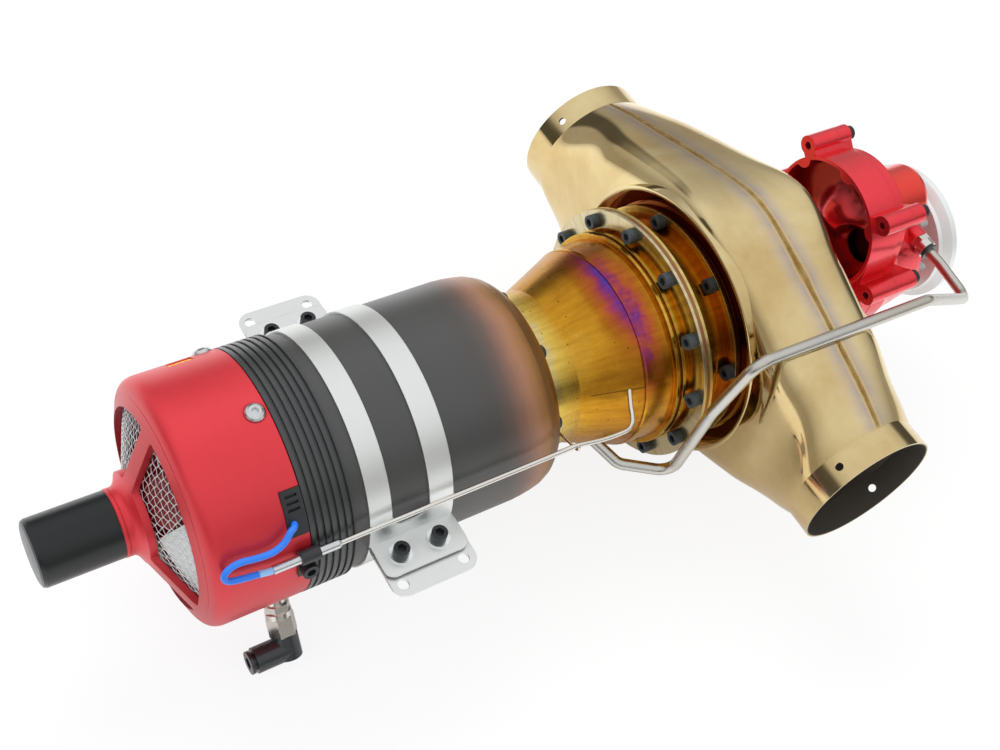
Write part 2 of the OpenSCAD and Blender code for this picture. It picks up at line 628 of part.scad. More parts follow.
module mount_strap() color("#cfd1d4")
    strap_half(asin(strap_gap / strap_in), flange_y, strap_gap, strap_t + 0.05, 3.5,
        strap_x[1] + 0.3);

module mount_cradle() color("#cfd1d4") difference() {
    mirror([0, 0, 1]) strap_half(0, plate_y, 0, plate_t, 5, strap_x[1] + 0.8);
    for (x = [-1, 1], y = [-1, 1]) translate([x * hole_x / 2, y * hole_y / 2, -plate_t - 1])
        cylinder(h = plate_t + 2, r = hole_r);
}

washer_t = 0.6;
head_seat = strap_gap + strap_t + 0.05 + washer_t;
module at_clamps() for (x = clamp_x, s = [-1, 1]) translate([x, s * clamp_y, 0]) children();

module strap_screws() color("#1c1c1e") at_clamps() translate([0, 0, head_seat])
    rotate([0, 90, 0]) cap_screw(3, 5.5, 3, 7);

module strap_washers() color("#b9bbbe") at_clamps()
    translate([0, 0, head_seat - washer_t]) difference() {
        cylinder(h = washer_t, r = 4);
        translate([0, 0, -1]) cylinder(h = 3, r = 1.5 + hole_gap);
    }

module strap_nuts() color("#b9bbbe") at_clamps() translate([0, 0, -plate_t - 2.4])
    difference() {
        cylinder(h = 2.4, r = 5.5 / sqrt(3), $fn = 6);
        translate([0, 0, -1]) cylinder(h = 6, r = 1.5 + fit);
    }

// ---------------------------------------------------------------- turbine section

cone_neck_end = case_rear + 14;
function cone_r(x) = neck_out + (x - cone_neck_end) * (cone_end_r - neck_out)
    / (cone_rear - cone_neck_end);

module interstage_cone() color("#b98532") difference() {
    turned([[case_rear - 0.7, cone_in], [case_rear - 0.7, screw_ring + 3.1],
        [case_rear + 0.3, screw_ring + 3.1], [case_rear + 0.3, neck_out],
        [cone_neck_end, neck_out], [cone_rear - 0.6, cone_end_r], [cone_rear, cone_end_r],
        [cone_rear, cone_end_r - hot_wall], [cone_neck_end, cone_in]]);
    ring_of(8, screw_ring, flange_screw_phase) bar_x(case_rear - 1, case_rear + 1,
        1.5 + hole_gap);
    along(probe_path[len(probe_path) - 2], probe_path[len(probe_path) - 1])
        cylinder(h = 30, r = rod_r + fit);
    along(tube_path[len(tube_path) - 2], tube_path[len(tube_path) - 1])
        cylinder(h = 40, r = tube_r + fit);
}

module cone_screws() color("#18181a") ring_of(8, screw_ring, flange_screw_phase)
    translate([case_rear + 0.3, 0, 0]) rotate([0, 90, 0]) button_screw(3, 5.7, 2.1, 6);

module turbine_case() color("#a8812f") difference() {
    r0 = cone_end_r + 0.3;
    turned([[cone_rear, cone_end_r - hot_wall], [cone_rear, r0], [cone_rear + 0.8, r0 + 0.3],
        [flange_b - 6.2, r0 + 1.2], [flange_b - 6.2, power_r + 1.2],
        [flange_b - 5, power_r + 1.2], [flange_b - 5, r0 + 1.5], [flange_b - 3.6, r0 + 1.5],
        [flange_b - 3.6, power_r + 1.2], [flange_b - 2.4, power_r + 1.2],
        [flange_b - 2.4, r0 + 1.8], [flange_b, r0 + 1.8], [flange_b, flange_b_r],
        [flange_b + 1.2, flange_b_r], [flange_b + 1.2, vane_rim + fit],
        [flange_b - 11, vane_rim + fit], [flange_b - 11.4, r0 - 0.6]]);
    ring_of(12, b_ring, 13.4) bar_x(flange_b - 1, flange_b + 3, 1.5 + hole_gap);
}

b_ring = flange_b_r - 4.2;
c_ring = flange_c_r - 2.9;
vane_rim = cone_end_r + 0.4;
power_in = vane_rim - 0.7;

module power_vanes() color("#8e6f3a") {
    x0 = flange_b - 10.8;
    difference() {
        turned([[x0, power_in], [x0, vane_rim], [flange_b + 1.2, vane_rim],
            [flange_b + 1.2, flange_b_r], [flange_b + 2.6, flange_b_r],
            [flange_b + 2.6, power_in]]);
        ring_of(12, b_ring, 13.4) bar_x(flange_b - 1, flange_b + 4, 1.5 + hole_gap);
    }
    difference() {
        turned([[x0 - 9, 0], [x0 - 8.4, 6], [x0 - 5, 13.4], [x0, 18.6], [x0 + 2, 19.4],
            [x0 + 8, 19.6], [x0 + 8, 18.4], [x0 + 2, 18.2], [x0, 17.4], [x0 - 4.4, 12.4],
            [x0 - 7.4, 5.6], [x0 - 7.8, 0]]);
    }
    for (i = [0:16]) rotate([i * 360 / 17, 0, 0]) translate([x0 + 0.6, 19, 0])
        rotate([0, -32, 0]) translate([0, 0, -0.6]) cube([8.4, power_in - 18.8, 1.2]);
}

module power_wheel() color("#877f78") difference() {
    x0 = flange_b - 1.6;
    union() {
        turned([[x0, 0], [x0, 9], [x0 + 1.2, 19.4], [x0 + 6.4, 19.4], [x0 + 8, 9],
            [x0 + 8, 0]]);
        intersection() {
            turned([[x0 + 0.5, 10], [x0 + 0.5, power_in - tip_gap],
                [x0 + 7, power_in - tip_gap], [x0 + 7, 10]]);
            for (i = [0:28]) rotate([i * 360 / 29, 0, 0]) translate([x0 + 4, 15, 0])
                rotate([0, 34, 0]) translate([-8, 0, -0.5]) cube([16, 30, 1]);
        }
    }
    bar_x(x0 - 1, x0 + 9, power_shaft_r);
}

module power_case() color("#8f6d2b") difference() {
    turned([[flange_b + 2.6, power_in], [flange_b + 2.6, flange_b_r],
        [flange_b + 3.8, flange_b_r], [flange_b + 3.8, power_r], [flange_c - 4, power_r],
        [flange_c - 4, power_r + 0.4], [flange_c - 3.4, power_r + 0.4],
        [flange_c - 3.4, power_r], [flange_c, power_r], [flange_c, flange_c_r],
        [flange_c + 1.2, flange_c_r], [flange_c + 1.2, power_r - 1.4],
        [flange_b + 8.6, power_r - 1.4], [flange_b + 7.4, power_in]]);
    ring_of(12, b_ring, 13.4) bar_x(flange_b + 1, flange_b + 5, 1.5 + fit);
    ring_of(8, c_ring, 22.25) bar_x(flange_c - 1, flange_c + 3, 1.5 + hole_gap);
}

module flange_screws() color("#232326") ring_of(12, b_ring, 13.4)
    translate([flange_b, 0, 0]) cap_screw(3, 5.5, 3, 4.2);

module collar_screws() color("#232326") ring_of(8, c_ring, 22.25)
    translate([flange_c, 0, 0]) cap_screw(3, 5.5, 3, 5);

// ---------------------------------------------------------------- power shaft

power_shaft_r = 5;
tunnel_flange = 22;                 // radius of the tunnel's flange behind the duct
power_bearing = [9.5, 5];           // outside radius and width
tunnel_front = flange_b + 9.6;
tunnel_rear = gear_front + 6;
duct_rear = duct_x + duct_half;

module power_shaft() color("#9b9ea3") {
    turned([[flange_b - 4.6, 0], [flange_b - 4.6, 5.4], [flange_b - 3.6, 7],
        [flange_b - 1.6, 7], [flange_b - 1.6, power_shaft_r], [tunnel_front + 12,
        power_shaft_r], [tunnel_front + 14, 7], [tunnel_rear - 20, 7],
        [tunnel_rear - 18, power_shaft_r], [gear_split - 4, power_shaft_r],
        [gear_split - 4, 0]]);
    plate_x(gear_split - 4.01, gear_split + 2.4) gear_outline(pinion_teeth, 0);
}

module power_bearings() color("#d8dadd") for (x = [tunnel_front + 1, tunnel_rear - 8])
    bearing(x, power_bearing[1], power_bearing[0], power_shaft_r + run_fit);

module power_tunnel() color("#a23038") difference() {
    turned([[tunnel_front, 8], [tunnel_front, 12.6], [duct_rear + fit, 12.6],
        [duct_rear + fit, tunnel_flange], [duct_rear + 2.4, tunnel_flange], [duct_rear + 2.4, 14.6],
        [gear_front - fit, 14.6], [gear_front - fit, 13], [tunnel_rear, 13],
        [tunnel_rear, power_shaft_r + 1], [tunnel_rear - 3, power_shaft_r + 1],
        [tunnel_rear - 3, power_bearing[0] + fit],
        [tunnel_rear - 8, power_bearing[0] + fit], [tunnel_rear - 8, 8.4],
        [tunnel_front + 6, 8.4], [tunnel_front + 6, power_bearing[0] + fit],
        [tunnel_front + 1, power_bearing[0] + fit], [tunnel_front + 1, 8]]);
    ring_of(4, 18, 45) bar_x(duct_rear - 1, duct_rear + 4, 1.5 + hole_gap);
}

// ---------------------------------------------------------------- forked exhaust duct

collar_y = outlet_y - collar_len;   // where each collar takes over from the duct

// Half height, half depth and squareness of the section at distance y from the middle.
// Roof: a hyperbola, straight towards each outlet and rounded over the middle.
flare = [collar_len + 8.5, 1.45];   // length and drop of the fairing into each collar
roof_slope = sqrt(pow(duct_top - duct_z - flare[1] - outlet_r - 0.08, 2) - 20.25) / collar_y;
function roof(y) = duct_top - sqrt(pow(roof_slope * y, 2) + 20.25) - duct_z
    - flare[1] * pow(max(0, abs(y) - collar_y + flare[0]) / flare[0], 2);
function half_depth(y) = duct_half + (outlet_r - duct_half) * max(0, abs(y) - tunnel_flange - 2)
    / (collar_y - tunnel_flange - 2);
function squareness(y) = 2 + 4.6 * (1 - min(1, abs(y) / collar_y)) + 5.4 * exp(-pow(y / 15, 2));
function power_of(v, e) = sign(v) * pow(abs(v), e);
function duct_ring(y, t, m) = [for (i = [0:m - 1]) let (a = 360 * (i + 0.5) / m,
        e = 2 / squareness(y))
    [duct_x + (half_depth(y) - t) * power_of(cos(a), e), y,
     duct_z + (roof(y) - t) * power_of(sin(a), e)]];

module duct_body(t, y_end, m, steps) {
    ys = [for (k = [-steps:steps]) let (u = k / steps) y_end * (0.55 * u + 0.45 * u * abs(u))];
    pts = [for (y = ys) each duct_ring(y, t, m)];
    polyhedron(points = pts, faces = concat([[for (i = [m - 1:-1:0]) i]],
        [for (k = [0:len(ys) - 2], i = [0:m - 1]) each let (a = k * m + i,
            b = k * m + (i + 1) % m) [[a, b + m, a + m], [a, b, b + m]]],
        [[for (i = [0:m - 1]) (len(ys) - 1) * m + i]]), convexity = 4);
}

module exhaust_duct() color("#b08a3c") {
    ridge = flange_c_r + 7.2;
    lip = flange_c + 1.2;
    difference() {
        duct_body(0, collar_y, 44, 13);
        duct_body(duct_wall, collar_y + 1, 36, 11);
        bar_x(duct_x - duct_half - 3, duct_x - duct_half + 4, ridge + 0.6);
        bar_x(duct_rear - 4, duct_rear + 4, 12.6 + fit);
        ring_of(4, 18, 45) bar_x(duct_rear - 4, duct_rear + 4, 1.5 + fit);
    }
    difference() {
        turned([[lip - 0.2, ridge], [lip - 0.2, ridge + 1.4], [lip + 4.6, ridge + 1.4],
            [lip + 6.2, flange_c_r + 1], [lip + 6.2, power_r - 1.4], [lip, power_r - 1.4],
            [lip, flange_c_r - 0.4], [lip + 5, flange_c_r - 0.4], [lip + 5, flange_c_r + 0.4]]);
        ring_of(8, c_ring, 22.25) bar_x(lip - 1, lip + 4.5, 1.5 + fit);
    }
}

module outlet_collars() color("#a9853f") for (s = [-1, 1]) scale([1, s, 1])
    translate([duct_x, 0, duct_z]) difference() {
        translate([0, collar_y, 0]) rotate([-90, 0, 0]) difference() {
            cylinder(h = collar_len, r = outlet_r);
            translate([0, 0, -1]) cylinder(h = collar_len + 2, r = outlet_r - duct_wall);
        }
        translate([0, outlet_y - 6, 0]) for (a = [134, -46])
            rotate([0, -a, 0]) translate([outlet_r - 4, 0, 0]) bar_x(0, 8, 1.5);
    }

// ---------------------------------------------------------------- gearbox

ring_out = gear_open + gear_wall;
base_r = 29.4;
chamber_r = wheel_teeth * gear_m / 2 + gear_m + 0.9;
lug_y = 22.8;
lug_z = lay_z + 20.2;
foot_y = 32;
foot_z = 18;

// The case's outline: a circle round each shaft line, joined by their outer tangents.
module case_outline(r_lay, r_main) {
    b = asin((r_main - r_lay) / lay_z);
    translate([0, lay_z]) circle(r = r_lay);
    circle(r = r_main);
    polygon([[r_main * cos(b), r_main * sin(b)], [r_lay * cos(b), lay_z + r_lay * sin(b)],
        [-r_lay * cos(b), lay_z + r_lay * sin(b)], [-r_main * cos(b), r_main * sin(b)]]);
}

module lugs(x0, x_top, x_foot) for (s = [-1, 1]) {
    plate_x(x0, x_top) {
        translate([s * lug_y, lug_z]) circle(r = 4);
        translate([s * lug_y, lug_z]) rotate(atan2(-(lug_z - lay_z), -s * lug_y))
            translate([0, -3.2]) square([9, 6.4]);
    }
    plate_x(x0, x_foot) {
        translate([s * foot_y, foot_z]) circle(r = 4);
        translate([s * foot_y, foot_z]) rotate(atan2(-foot_z, -s * foot_y))
            translate([0, -3.6]) square([11, 7.2]);
    }
}

module lug_holes(r) for (s = [-1, 1], p = [[lug_y, lug_z], [foot_y, foot_z]])
    translate([0, s * p[0], p[1]]) bar_x(gear_front, gear_split + 20, r);

module gear_case() color("#c0202c") difference() {
    union() {
        on_lay() bar_x(gear_front, gear_split, ring_out);
        plate_x(gear_front + 1.2, gear_split) case_outline(ring_out, base_r);
        lugs(gear_front + 1.2, gear_split, gear_split);
    }
    // pocket inside the ring, in front of the web
    plate_x(gear_front - 1, gear_front + 8.2) difference() {
        translate([0, lay_z]) circle(r = gear_open);
        circle(r = 16.4);
        for (a = [35:55:145]) translate([0, lay_z]) rotate(a) translate([gear_open + 1.4, 0])
            circle(r = 4);
    }
    plate_x(gear_front + 7, gear_split - 4) translate([-15.1, 26.6]) circle(r = 7);
    // chamber of the first gear pair
    plate_x(gear_split - 4.6, gear_split + 1) {
        translate([0, lay_z]) circle(r = chamber_r);
        circle(r = 15);
    }
    bar_x(gear_front - 1, tunnel_rear, 13 + fit);
    bar_x(gear_front, gear_split, power_shaft_r + 2);
    lug_holes(1.5 + fit);
}

output_rear = gear_split + 31;
prop_bearing = [9.5, 5];
lay_bearing = [8, 5];
fitting_at = [output_rear - 3.8, 20];
gear_x = [gear_split + 10, gear_split + 18];

module output_housing() color("#b81a22") difference() {
    union() {
        plate_x(gear_split, gear_split + 4.8) case_outline(ring_out - 1.2, base_r + 0.1);
        turned([[gear_split, 0], [gear_split, base_r + 0.1], [gear_split + 8, base_r + 0.1],
            [gear_split + 14, 27.7], [gear_split + 28, 25.8], [output_rear - 1, 25.4],
            [output_rear, 24], [output_rear, 0]]);
        lugs(gear_split, gear_split + 6.4, gear_split + 11);
        translate([fitting_at[0], 0, fitting_at[1]]) rotate([90, 0, 0])
            cylinder(h = 18.6, r = 4.4);
    }
    difference() {
        on_lay() bar_x(gear_split + 4.8, output_rear + 8, cap_r + fit);
        on_lay() bar_x(gear_split + 4, gear_split + 8, 9.9);
    }
    on_lay() bar_x(gear_split - 1, gear_split + 2.4, chamber_r);
    on_lay() bar_x(gear_split - 1, gear_split + 9, lay_bearing[0] + fit);
    bar_x(gear_split - 1, gear_x[0], 15);
    bar_x(gear_x[0] - 0.8, gear_x[1] + 0.8, chamber_r);
    bar_x(gear_x[0], output_rear - 1, prop_bearing[0] + fit);
    bar_x(gear_x[0], output_rear + 1, 7.6);
    translate([fitting_at[0], -12.6, fitting_at[1]]) rotate([90, 0, 0]) {
        cylinder(h = 20, r = 2.5 + fit);
        translate([0, 0, 6]) cylinder(h = 20, r = 4.9);
    }
    lug_holes(1.5 + hole_gap);
}

module bearing_cap() color("#c61f2b") difference() {
    on_lay() turned([[gear_split + 4.8, 10], [gear_split + 4.8, cap_r],
        [output_rear - 1, cap_r], [output_rear + 0.6, cap_r - 0.7], [output_rear + 1.7,
        cap_r - 2.1], [output_rear + 2, cap_r - 3.8], [output_rear + 2, 0],
        [output_rear - 1.4, 0], [output_rear - 1.4, 6.4], [output_rear - 3.4, 6.4],
        [output_rear - 3.4, lay_bearing[0] + fit], [output_rear - 8.6, lay_bearing[0] + fit],
        [output_rear - 8.6, 10]]);
    bar_x(gear_x[0] - 0.8, gear_x[1] + 0.8, chamber_r);
}

module gearbox_screws() color("#232326") for (s = [-1, 1],
    p = [[lug_y, lug_z, gear_split + 6.4], [foot_y, foot_z, gear_split + 11]])
    translate([p[2], s * p[0], p[1]]) mirror([1, 0, 0]) cap_screw(3, 5.5, 3,
        p[2] - gear_split + 8);

module layshaft() color("#8d9095") on_lay() {
    bar_x(gear_split - 4, output_rear - 3.2, 4);
    plate_x(gear_split - 3.6, gear_split + 1.6) gear_outline(wheel_teeth, 180 / wheel_teeth);
    plate_x(gear_x[0], gear_x[1]) gear_outline(pinion_teeth, 0);
}

module lay_bearings() color("#d8dadd") on_lay() for (x = [gear_split + 2.8,
    output_rear - 8.5]) bearing(x, lay_bearing[1], lay_bearing[0], 4 + run_fit);

module prop_shaft() color("#9b9ea3") turned([[gear_x[0] - 3, 0], [gear_x[0] - 3, 5],
    [prop_x + 5.2, 5], [prop_x + 5.2, 4], [prop_x + 16.2, 4], [prop_x + 17, 3.2],
    [prop_x + 17, 0]]);

module output_gear() color("#8d9095") difference() {
    union() {
        plate_x(gear_x[0], gear_x[1]) gear_outline(wheel_teeth, 180 / wheel_teeth);
        bar_x(gear_x[0] - 2, gear_x[1] + 0.6, 7);
    }
    bar_x(gear_x[0] - 3, gear_x[1] + 2, 5);
}

module prop_bearings() color("#d8dadd") for (x = [output_rear - 11.2, output_rear - 6])
    bearing(x, prop_bearing[1], prop_bearing[0], 5 + run_fit);

prop_x = 260.8;                     // front edge of the flange's larger step

module prop_flange() color("#d2d4d6") difference() {
    turned([[output_rear - 0.9, 5], [output_rear - 0.9, 7], [prop_x - 4, 7],
        [prop_x - 2.6, 12], [prop_x - 1.4, prop_r - 3.6], [prop_x, prop_r - 2.9],
        [prop_x + 2.7, prop_r], [prop_x + 5.2, prop_r], [prop_x + 5.2, 5]]);
    ring_of(6, prop_r - 9, 0) bar_x(prop_x - 5, prop_x + 7, 2);
}

// ---------------------------------------------------------------- oil tube

function on_skin(x, a, r) = [x, r * cos(a), r * sin(a)];
over_duct = flange_b_r + 7.2;       // how far out the tube passes the duct
function above_duct(y) = duct_z + roof(y);
tube_path = [[fitting_at[0], -14.2, fitting_at[1]], [fitting_at[0], -32, fitting_at[1]],
    [fitting_at[0] - 2.6, -over_duct + 5.4, fitting_at[1]],
    [gear_front + 1.15, -over_duct + 1.4, above_duct(over_duct - 1.4) - 0.7],
    [flange_b + 4.2, -over_duct, above_duct(over_duct) + 6.7], on_skin(flange_b - 3.6, 159.6, flange_b_r + 8.6),
    on_skin(flange_b - 6.9, -160.9, flange_b_r + 6.23),
    on_skin(cone_rear - 5.6, -155.45, cone_end_r + 6.62),
    on_skin(cone_rear - 13, -155.16, cone_end_r - 8.15)];

module oil_tube() color("#b4b7ba") difference() {
    last = len(tube_path) - 1;
    ends = [for (i = [0:last]) tube_path[i] + (i == 0 ? [0, 1, 0]
        : i == last ? unit(tube_path[i] - tube_path[i - 1]) : [0, 0, 0])];
    cord(rounded(tube_path, 7, 4), tube_r, 12, [0.6, 0.6, 0.5]);
    cord(rounded(ends, 7, 4), tube_r - 0.6, 8, [0.6, 0.6, 0.5]);
}

module along_fitting() translate([fitting_at[0], 0, fitting_at[1]]) rotate([90, 0, 0])
    children();

module tube_fitting() color("#c3bfb6") along_fitting() difference() {
    union() {
        translate([0, 0, 13]) cylinder(h = 6, r = 2.5);
        translate([0, 0, 18.6]) cylinder(h = 2.4, r = 4.2, $fn = 6);
        translate([0, 0, 20.9]) cylinder(h = 3.2, r = 3.9);
    }
    translate([0, 0, 12]) cylinder(h = 20, r = tube_r - 1.2);
    translate([0, 0, 14.2]) cylinder(h = 20, r = tube_r + fit);
    translate([0, 0, 21.6]) cylinder(h = 5, r = tube_r + 0.9);
}

module tube_collet() color("#18181a") along_fitting() difference() {
    union() {
        translate([0, 0, 22.6]) cylinder(h = 2.6, r = tube_r + 0.85);
        translate([0, 0, 24.9]) cylinder(h = 0.8, r = 3.7);
    }
    translate([0, 0, 22]) cylinder(h = 5, r = tube_r + run_fit);
}

// ---------------------------------------------------------------- push-in elbow

elbow_r = button_seat + 23.5;       // distance of the elbow's arm from the shaft line
mouth_x = -13.2;                    // the elbow's mouth, measured from its stem

module elbow_stem() color("#c9c4ba") outward(stem_x, stem_angle) difference() {
    union() {
        translate([0, 0, housing_in - 2]) cylinder(h = 10, r = stem_r);
        translate([0, 0, button_seat]) cylinder(h = 6.2, r = 3.4);
        translate([0, 0, button_seat + 6]) cylinder(h = 2.8, r = 8 / sqrt(3), $fn = 6);
        translate([0, 0, button_seat + 8.7]) cylinder(h = 2.2, r = 4.7);
        translate([0, 0, button_seat + 10.8]) cylinder(h = 6.9, r = 9 / sqrt(3), $fn = 6);
        translate([0, 0, button_seat + 17.6]) cylinder(h = 4.8, r = 2.8);
    }
    cylinder(h = 80, r = 1.2);
}

module elbow_body() color("#17181a") outward(stem_x, stem_angle) difference() {
    union() {
        translate([0, 0, button_seat + 17.8]) cylinder(h = elbow_r + 3.4 - button_seat - 17.8,
            r = 4.7);
        translate([0, 0, elbow_r]) rotate([0, -90, 0]) cylinder(h = -mouth_x - 0.8, r = 4.7);
        translate([0, 0, elbow_r]) sphere(r = 4.7);
    }
    translate([0, 0, button_seat + 16]) cylinder(h = 6.8, r = 2.8 + run_fit);
    translate([0, 0, button_seat + 16]) cylinder(h = elbow_r - button_seat - 16, r = 1.2);
    translate([0, 0, elbow_r]) rotate([0, -90, 0]) {
        cylinder(h = 20, r = 1.2);
        translate([0, 0, 4]) cylinder(h = 20, r = 2);
        translate([0, 0, 8]) cylinder(h = 20, r = 3.3);
    }
}

module release_collet() color("#26282b") outward(stem_x, stem_angle)
    translate([0, 0, elbow_r]) rotate([0, -90, 0]) difference() {
        union() {
            translate([0, 0, 9.2]) cylinder(h = -mouth_x - 9.4, r = 3.3 - run_fit);
            translate([0, 0, -mouth_x + 0.2]) cylinder(h = 1.2, r = 4.2);
            translate([0, 0, -mouth_x - 0.3]) cylinder(h = 1, r = 3.2);
        }
        translate([0, 0, 8]) cylinder(h = 20, r = 2.05);
    }

// ---------------------------------------------------------------- temperature probe

probe_angle = 160.99;
probe_yz = (housing_r + 2.787) * [cos(probe_angle), sin(probe_angle)];
rod_start = housing_rear + 8.6;
probe_path = [[rod_start - 6, probe_yz[0], probe_yz[1]],
    [case_rear + 0.5, probe_yz[0], probe_yz[1]], on_skin(cone_rear - 14.6, 164.81, cone_end_r + 7.9),
    on_skin(cone_rear - 9, 163.74, cone_end_r + 4.6),
    on_skin(cone_rear - 4.5, 150.13, cone_end_r - 3.77)];

module probe_rod() color("#b9b9b6")
    cord(rounded(probe_path, 3.2, 3), rod_r, 10, [0, -0.45, 0.9]);

module probe_ferrule() color("#c9ccd0") translate([0, probe_yz[0], probe_yz[1]])
    difference() {
        turned([[housing_rear - 14.6, 0], [housing_rear - 14.6, 1.5],
            [housing_rear - 6, 1.5], [housing_rear - 6, 1.6], [rod_start - 0.8, 1.6],
            [rod_start, 1.2], [rod_start, 0]]);
        bar_x(housing_rear - 15, housing_rear - 12.2, lead_r + fit);
        rotate([0, 0, 0]) bar_x(rod_start - 6, rod_start + 1, rod_r + fit);
    }

lead_start = [housing_rear - 4.6, 146.2];
lead_r0 = housing_r + 2.8;
function lead_at(back, a) = on_skin(housing_rear - back, a, lead_r0);
lead_path = [on_skin(lead_start[0], lead_start[1], housing_r - 0.9),
    on_skin(lead_start[0], lead_start[1], housing_r + 0.6),
    on_skin(housing_rear - 5.5, 146.4, housing_r + 2.1), lead_at(7.1, 147.2), lead_at(9.7, 150.6),
    lead_at(13.7, 152.6), lead_at(18.7, 152.4), lead_at(24.2, 151.4), lead_at(28.1, 152.4),
    lead_at(29.9, 155), lead_at(28.7, 157.6), lead_at(24.7, 159), lead_at(19.7, 160),
    lead_at(15.7, 161), [housing_rear - 14.6, probe_yz[0], probe_yz[1]],
    [housing_rear - 12.9, probe_yz[0], probe_yz[1]]];
function spline(a, b, c, d, u) = 0.5 * (2 * b + (c - a) * u
    + (2 * a - 5 * b + 4 * c - d) * u * u + (3 * b - a - 3 * c + d) * u * u * u);
lead_line = [for (i = [0:len(lead_path) - 2], j = [0:2]) spline(lead_path[max(0, i - 1)],
    lead_path[i], lead_path[i + 1], lead_path[min(len(lead_path) - 1, i + 2)], j / 3),
    lead_path[len(lead_path) - 1]];

module blue_lead() color("#1f5fd0") cord(lead_line, lead_r, 10, [1, -0.83, 0.55]);

module probe_clip() color("#2c2d30") {
    r_in = 1.6 + fit;
    x0 = housing_rear - 5.4;
    w = 6.6;
    base = housing_r + 0.25;
    difference() {
        union() {
            translate([0, probe_yz[0], probe_yz[1]]) bar_x(x0, x0 + w, r_in + 0.7);
            turned_arc([[x0, base], [x0, base + 0.7], [x0 + w, base + 0.7], [x0 + w, base]],
                160.4, 14.4);
        }
        translate([0, probe_yz[0], probe_yz[1]]) bar_x(x0 - 1, x0 + w + 1, r_in);
        outward(clip_x, clip_angle) cylinder(h = 60, r = 1.5 + hole_gap);
    }
}

module clip_screw() color("#1c1c1e") outward(clip_x, clip_angle)
    translate([0, 0, housing_r + 1.1]) rotate([0, 90, 0]) cap_screw(3, 5.5, 2.6, 6);

module wire_hook() color("#b9b9b6") {
    up = unit(probe_yz);
    side = [-up[1], up[0]];
    x = case_rear + 0.3 + 0.5;
    reach = rod_r + 0.6;
    foot = up * (screw_ring + 3.4) * 0.98 + side * reach;
    cord(concat([[x, foot[0], foot[1]]], [for (a = [-90:30:120]) let (q = probe_yz
        + reach * (cos(a) * side + sin(a) * up)) if (a >= 0) [x, q[0], q[1]]]),
        0.5, 8, [1, 0, 0]);
}

// ---------------------------------------------------------------- drawing

starter_can();
starter_rotor();
intake_housing();
intake_mesh();
housing_screws();
connector_block();
yellow_plug();
fuel_pump();
fuel_valves();
front_ring();
engine_case();
compressor_wheel();
diffuser();
bearing_tunnel();
rotor_shaft();
rotor_bearings();
combustor();
nozzle_vanes();
turbine_wheel();
mount_strap();
mount_cradle();
strap_screws();
strap_washers();
strap_nuts();
interstage_cone();
cone_screws();
turbine_case();
power_case();
flange_screws();
collar_screws();
power_vanes();
power_wheel();
power_shaft();
power_bearings();
power_tunnel();
exhaust_duct();
outlet_collars();
gear_case();
output_housing();
bearing_cap();
gearbox_screws();
layshaft();
lay_bearings();
prop_shaft();
output_gear();
prop_bearings();
prop_flange();
oil_tube();
tube_fitting();
tube_collet();
elbow_stem();
elbow_body();
release_collet();
probe_rod();
probe_ferrule();
blue_lead();
probe_clip();
clip_screw();
wire_hook();
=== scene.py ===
import math

import bmesh
import bpy
import numpy as np
from mathutils import Matrix, Vector


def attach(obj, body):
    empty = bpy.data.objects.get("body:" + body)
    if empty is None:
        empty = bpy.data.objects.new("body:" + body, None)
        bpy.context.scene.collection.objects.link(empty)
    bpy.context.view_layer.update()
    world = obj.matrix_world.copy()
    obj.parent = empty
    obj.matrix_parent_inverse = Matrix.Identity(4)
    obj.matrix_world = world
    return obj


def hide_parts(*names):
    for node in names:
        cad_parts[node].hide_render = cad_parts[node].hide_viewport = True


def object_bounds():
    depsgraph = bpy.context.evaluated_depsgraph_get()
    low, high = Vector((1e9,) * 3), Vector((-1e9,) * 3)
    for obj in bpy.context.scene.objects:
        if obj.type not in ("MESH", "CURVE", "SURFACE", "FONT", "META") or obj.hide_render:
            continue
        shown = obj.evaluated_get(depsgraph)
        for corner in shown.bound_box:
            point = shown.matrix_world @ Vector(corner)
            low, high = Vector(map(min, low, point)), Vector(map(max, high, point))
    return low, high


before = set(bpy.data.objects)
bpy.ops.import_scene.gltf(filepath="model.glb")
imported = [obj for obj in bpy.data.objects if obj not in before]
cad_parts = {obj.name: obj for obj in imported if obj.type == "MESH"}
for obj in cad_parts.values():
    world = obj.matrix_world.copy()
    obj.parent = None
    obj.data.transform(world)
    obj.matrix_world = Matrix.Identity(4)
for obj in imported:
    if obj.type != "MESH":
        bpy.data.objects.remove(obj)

cad_low, cad_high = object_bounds()

# ---------------- viewpoint
# The engine is looked at from above and in front of its starter, on the side of the
# temperature probe, with a lens a little longer than normal.
EYE = (-0.15515, -0.21871, 0.38699)
RIGHT, UP, BACK = (0.8431, -0.5054, 0.1838), (0.3130, 0.7390, 0.5965), (-0.4374, -0.4454, 0.7813)
LENS_MM, SENSOR_MM = 48.94, 36.0
camera = bpy.data.objects.new("camera", bpy.data.cameras.new("camera"))
bpy.context.scene.collection.objects.link(camera)
camera.data.lens = LENS_MM
camera.data.sensor_width = SENSOR_MM
camera.data.clip_start = 0.01
turn = Matrix((RIGHT, UP, BACK)).transposed().to_4x4()
camera.matrix_world = Matrix.Translation(EYE) @ turn
bpy.context.scene.camera = camera
bpy.context.scene.view_settings.view_transform = "Standard"


# ---------------- blue sensor lead
# A PVC-insulated lead from the connector in the skirt's notch, looped forward and
# back into the probe's ferrule. It is held at both ends and springs clear of the skirt.
def tone(code):
    """A paint colour code as the linear colour that a shader takes."""
    c = np.array([int(code[i:i + 2], 16) for i in (1, 3, 5)]) / 255
    c = np.where(c <= 0.04045, c / 12.92, ((c + 0.055) / 1.055) ** 2.4)
    return (*c.tolist(), 1.0)


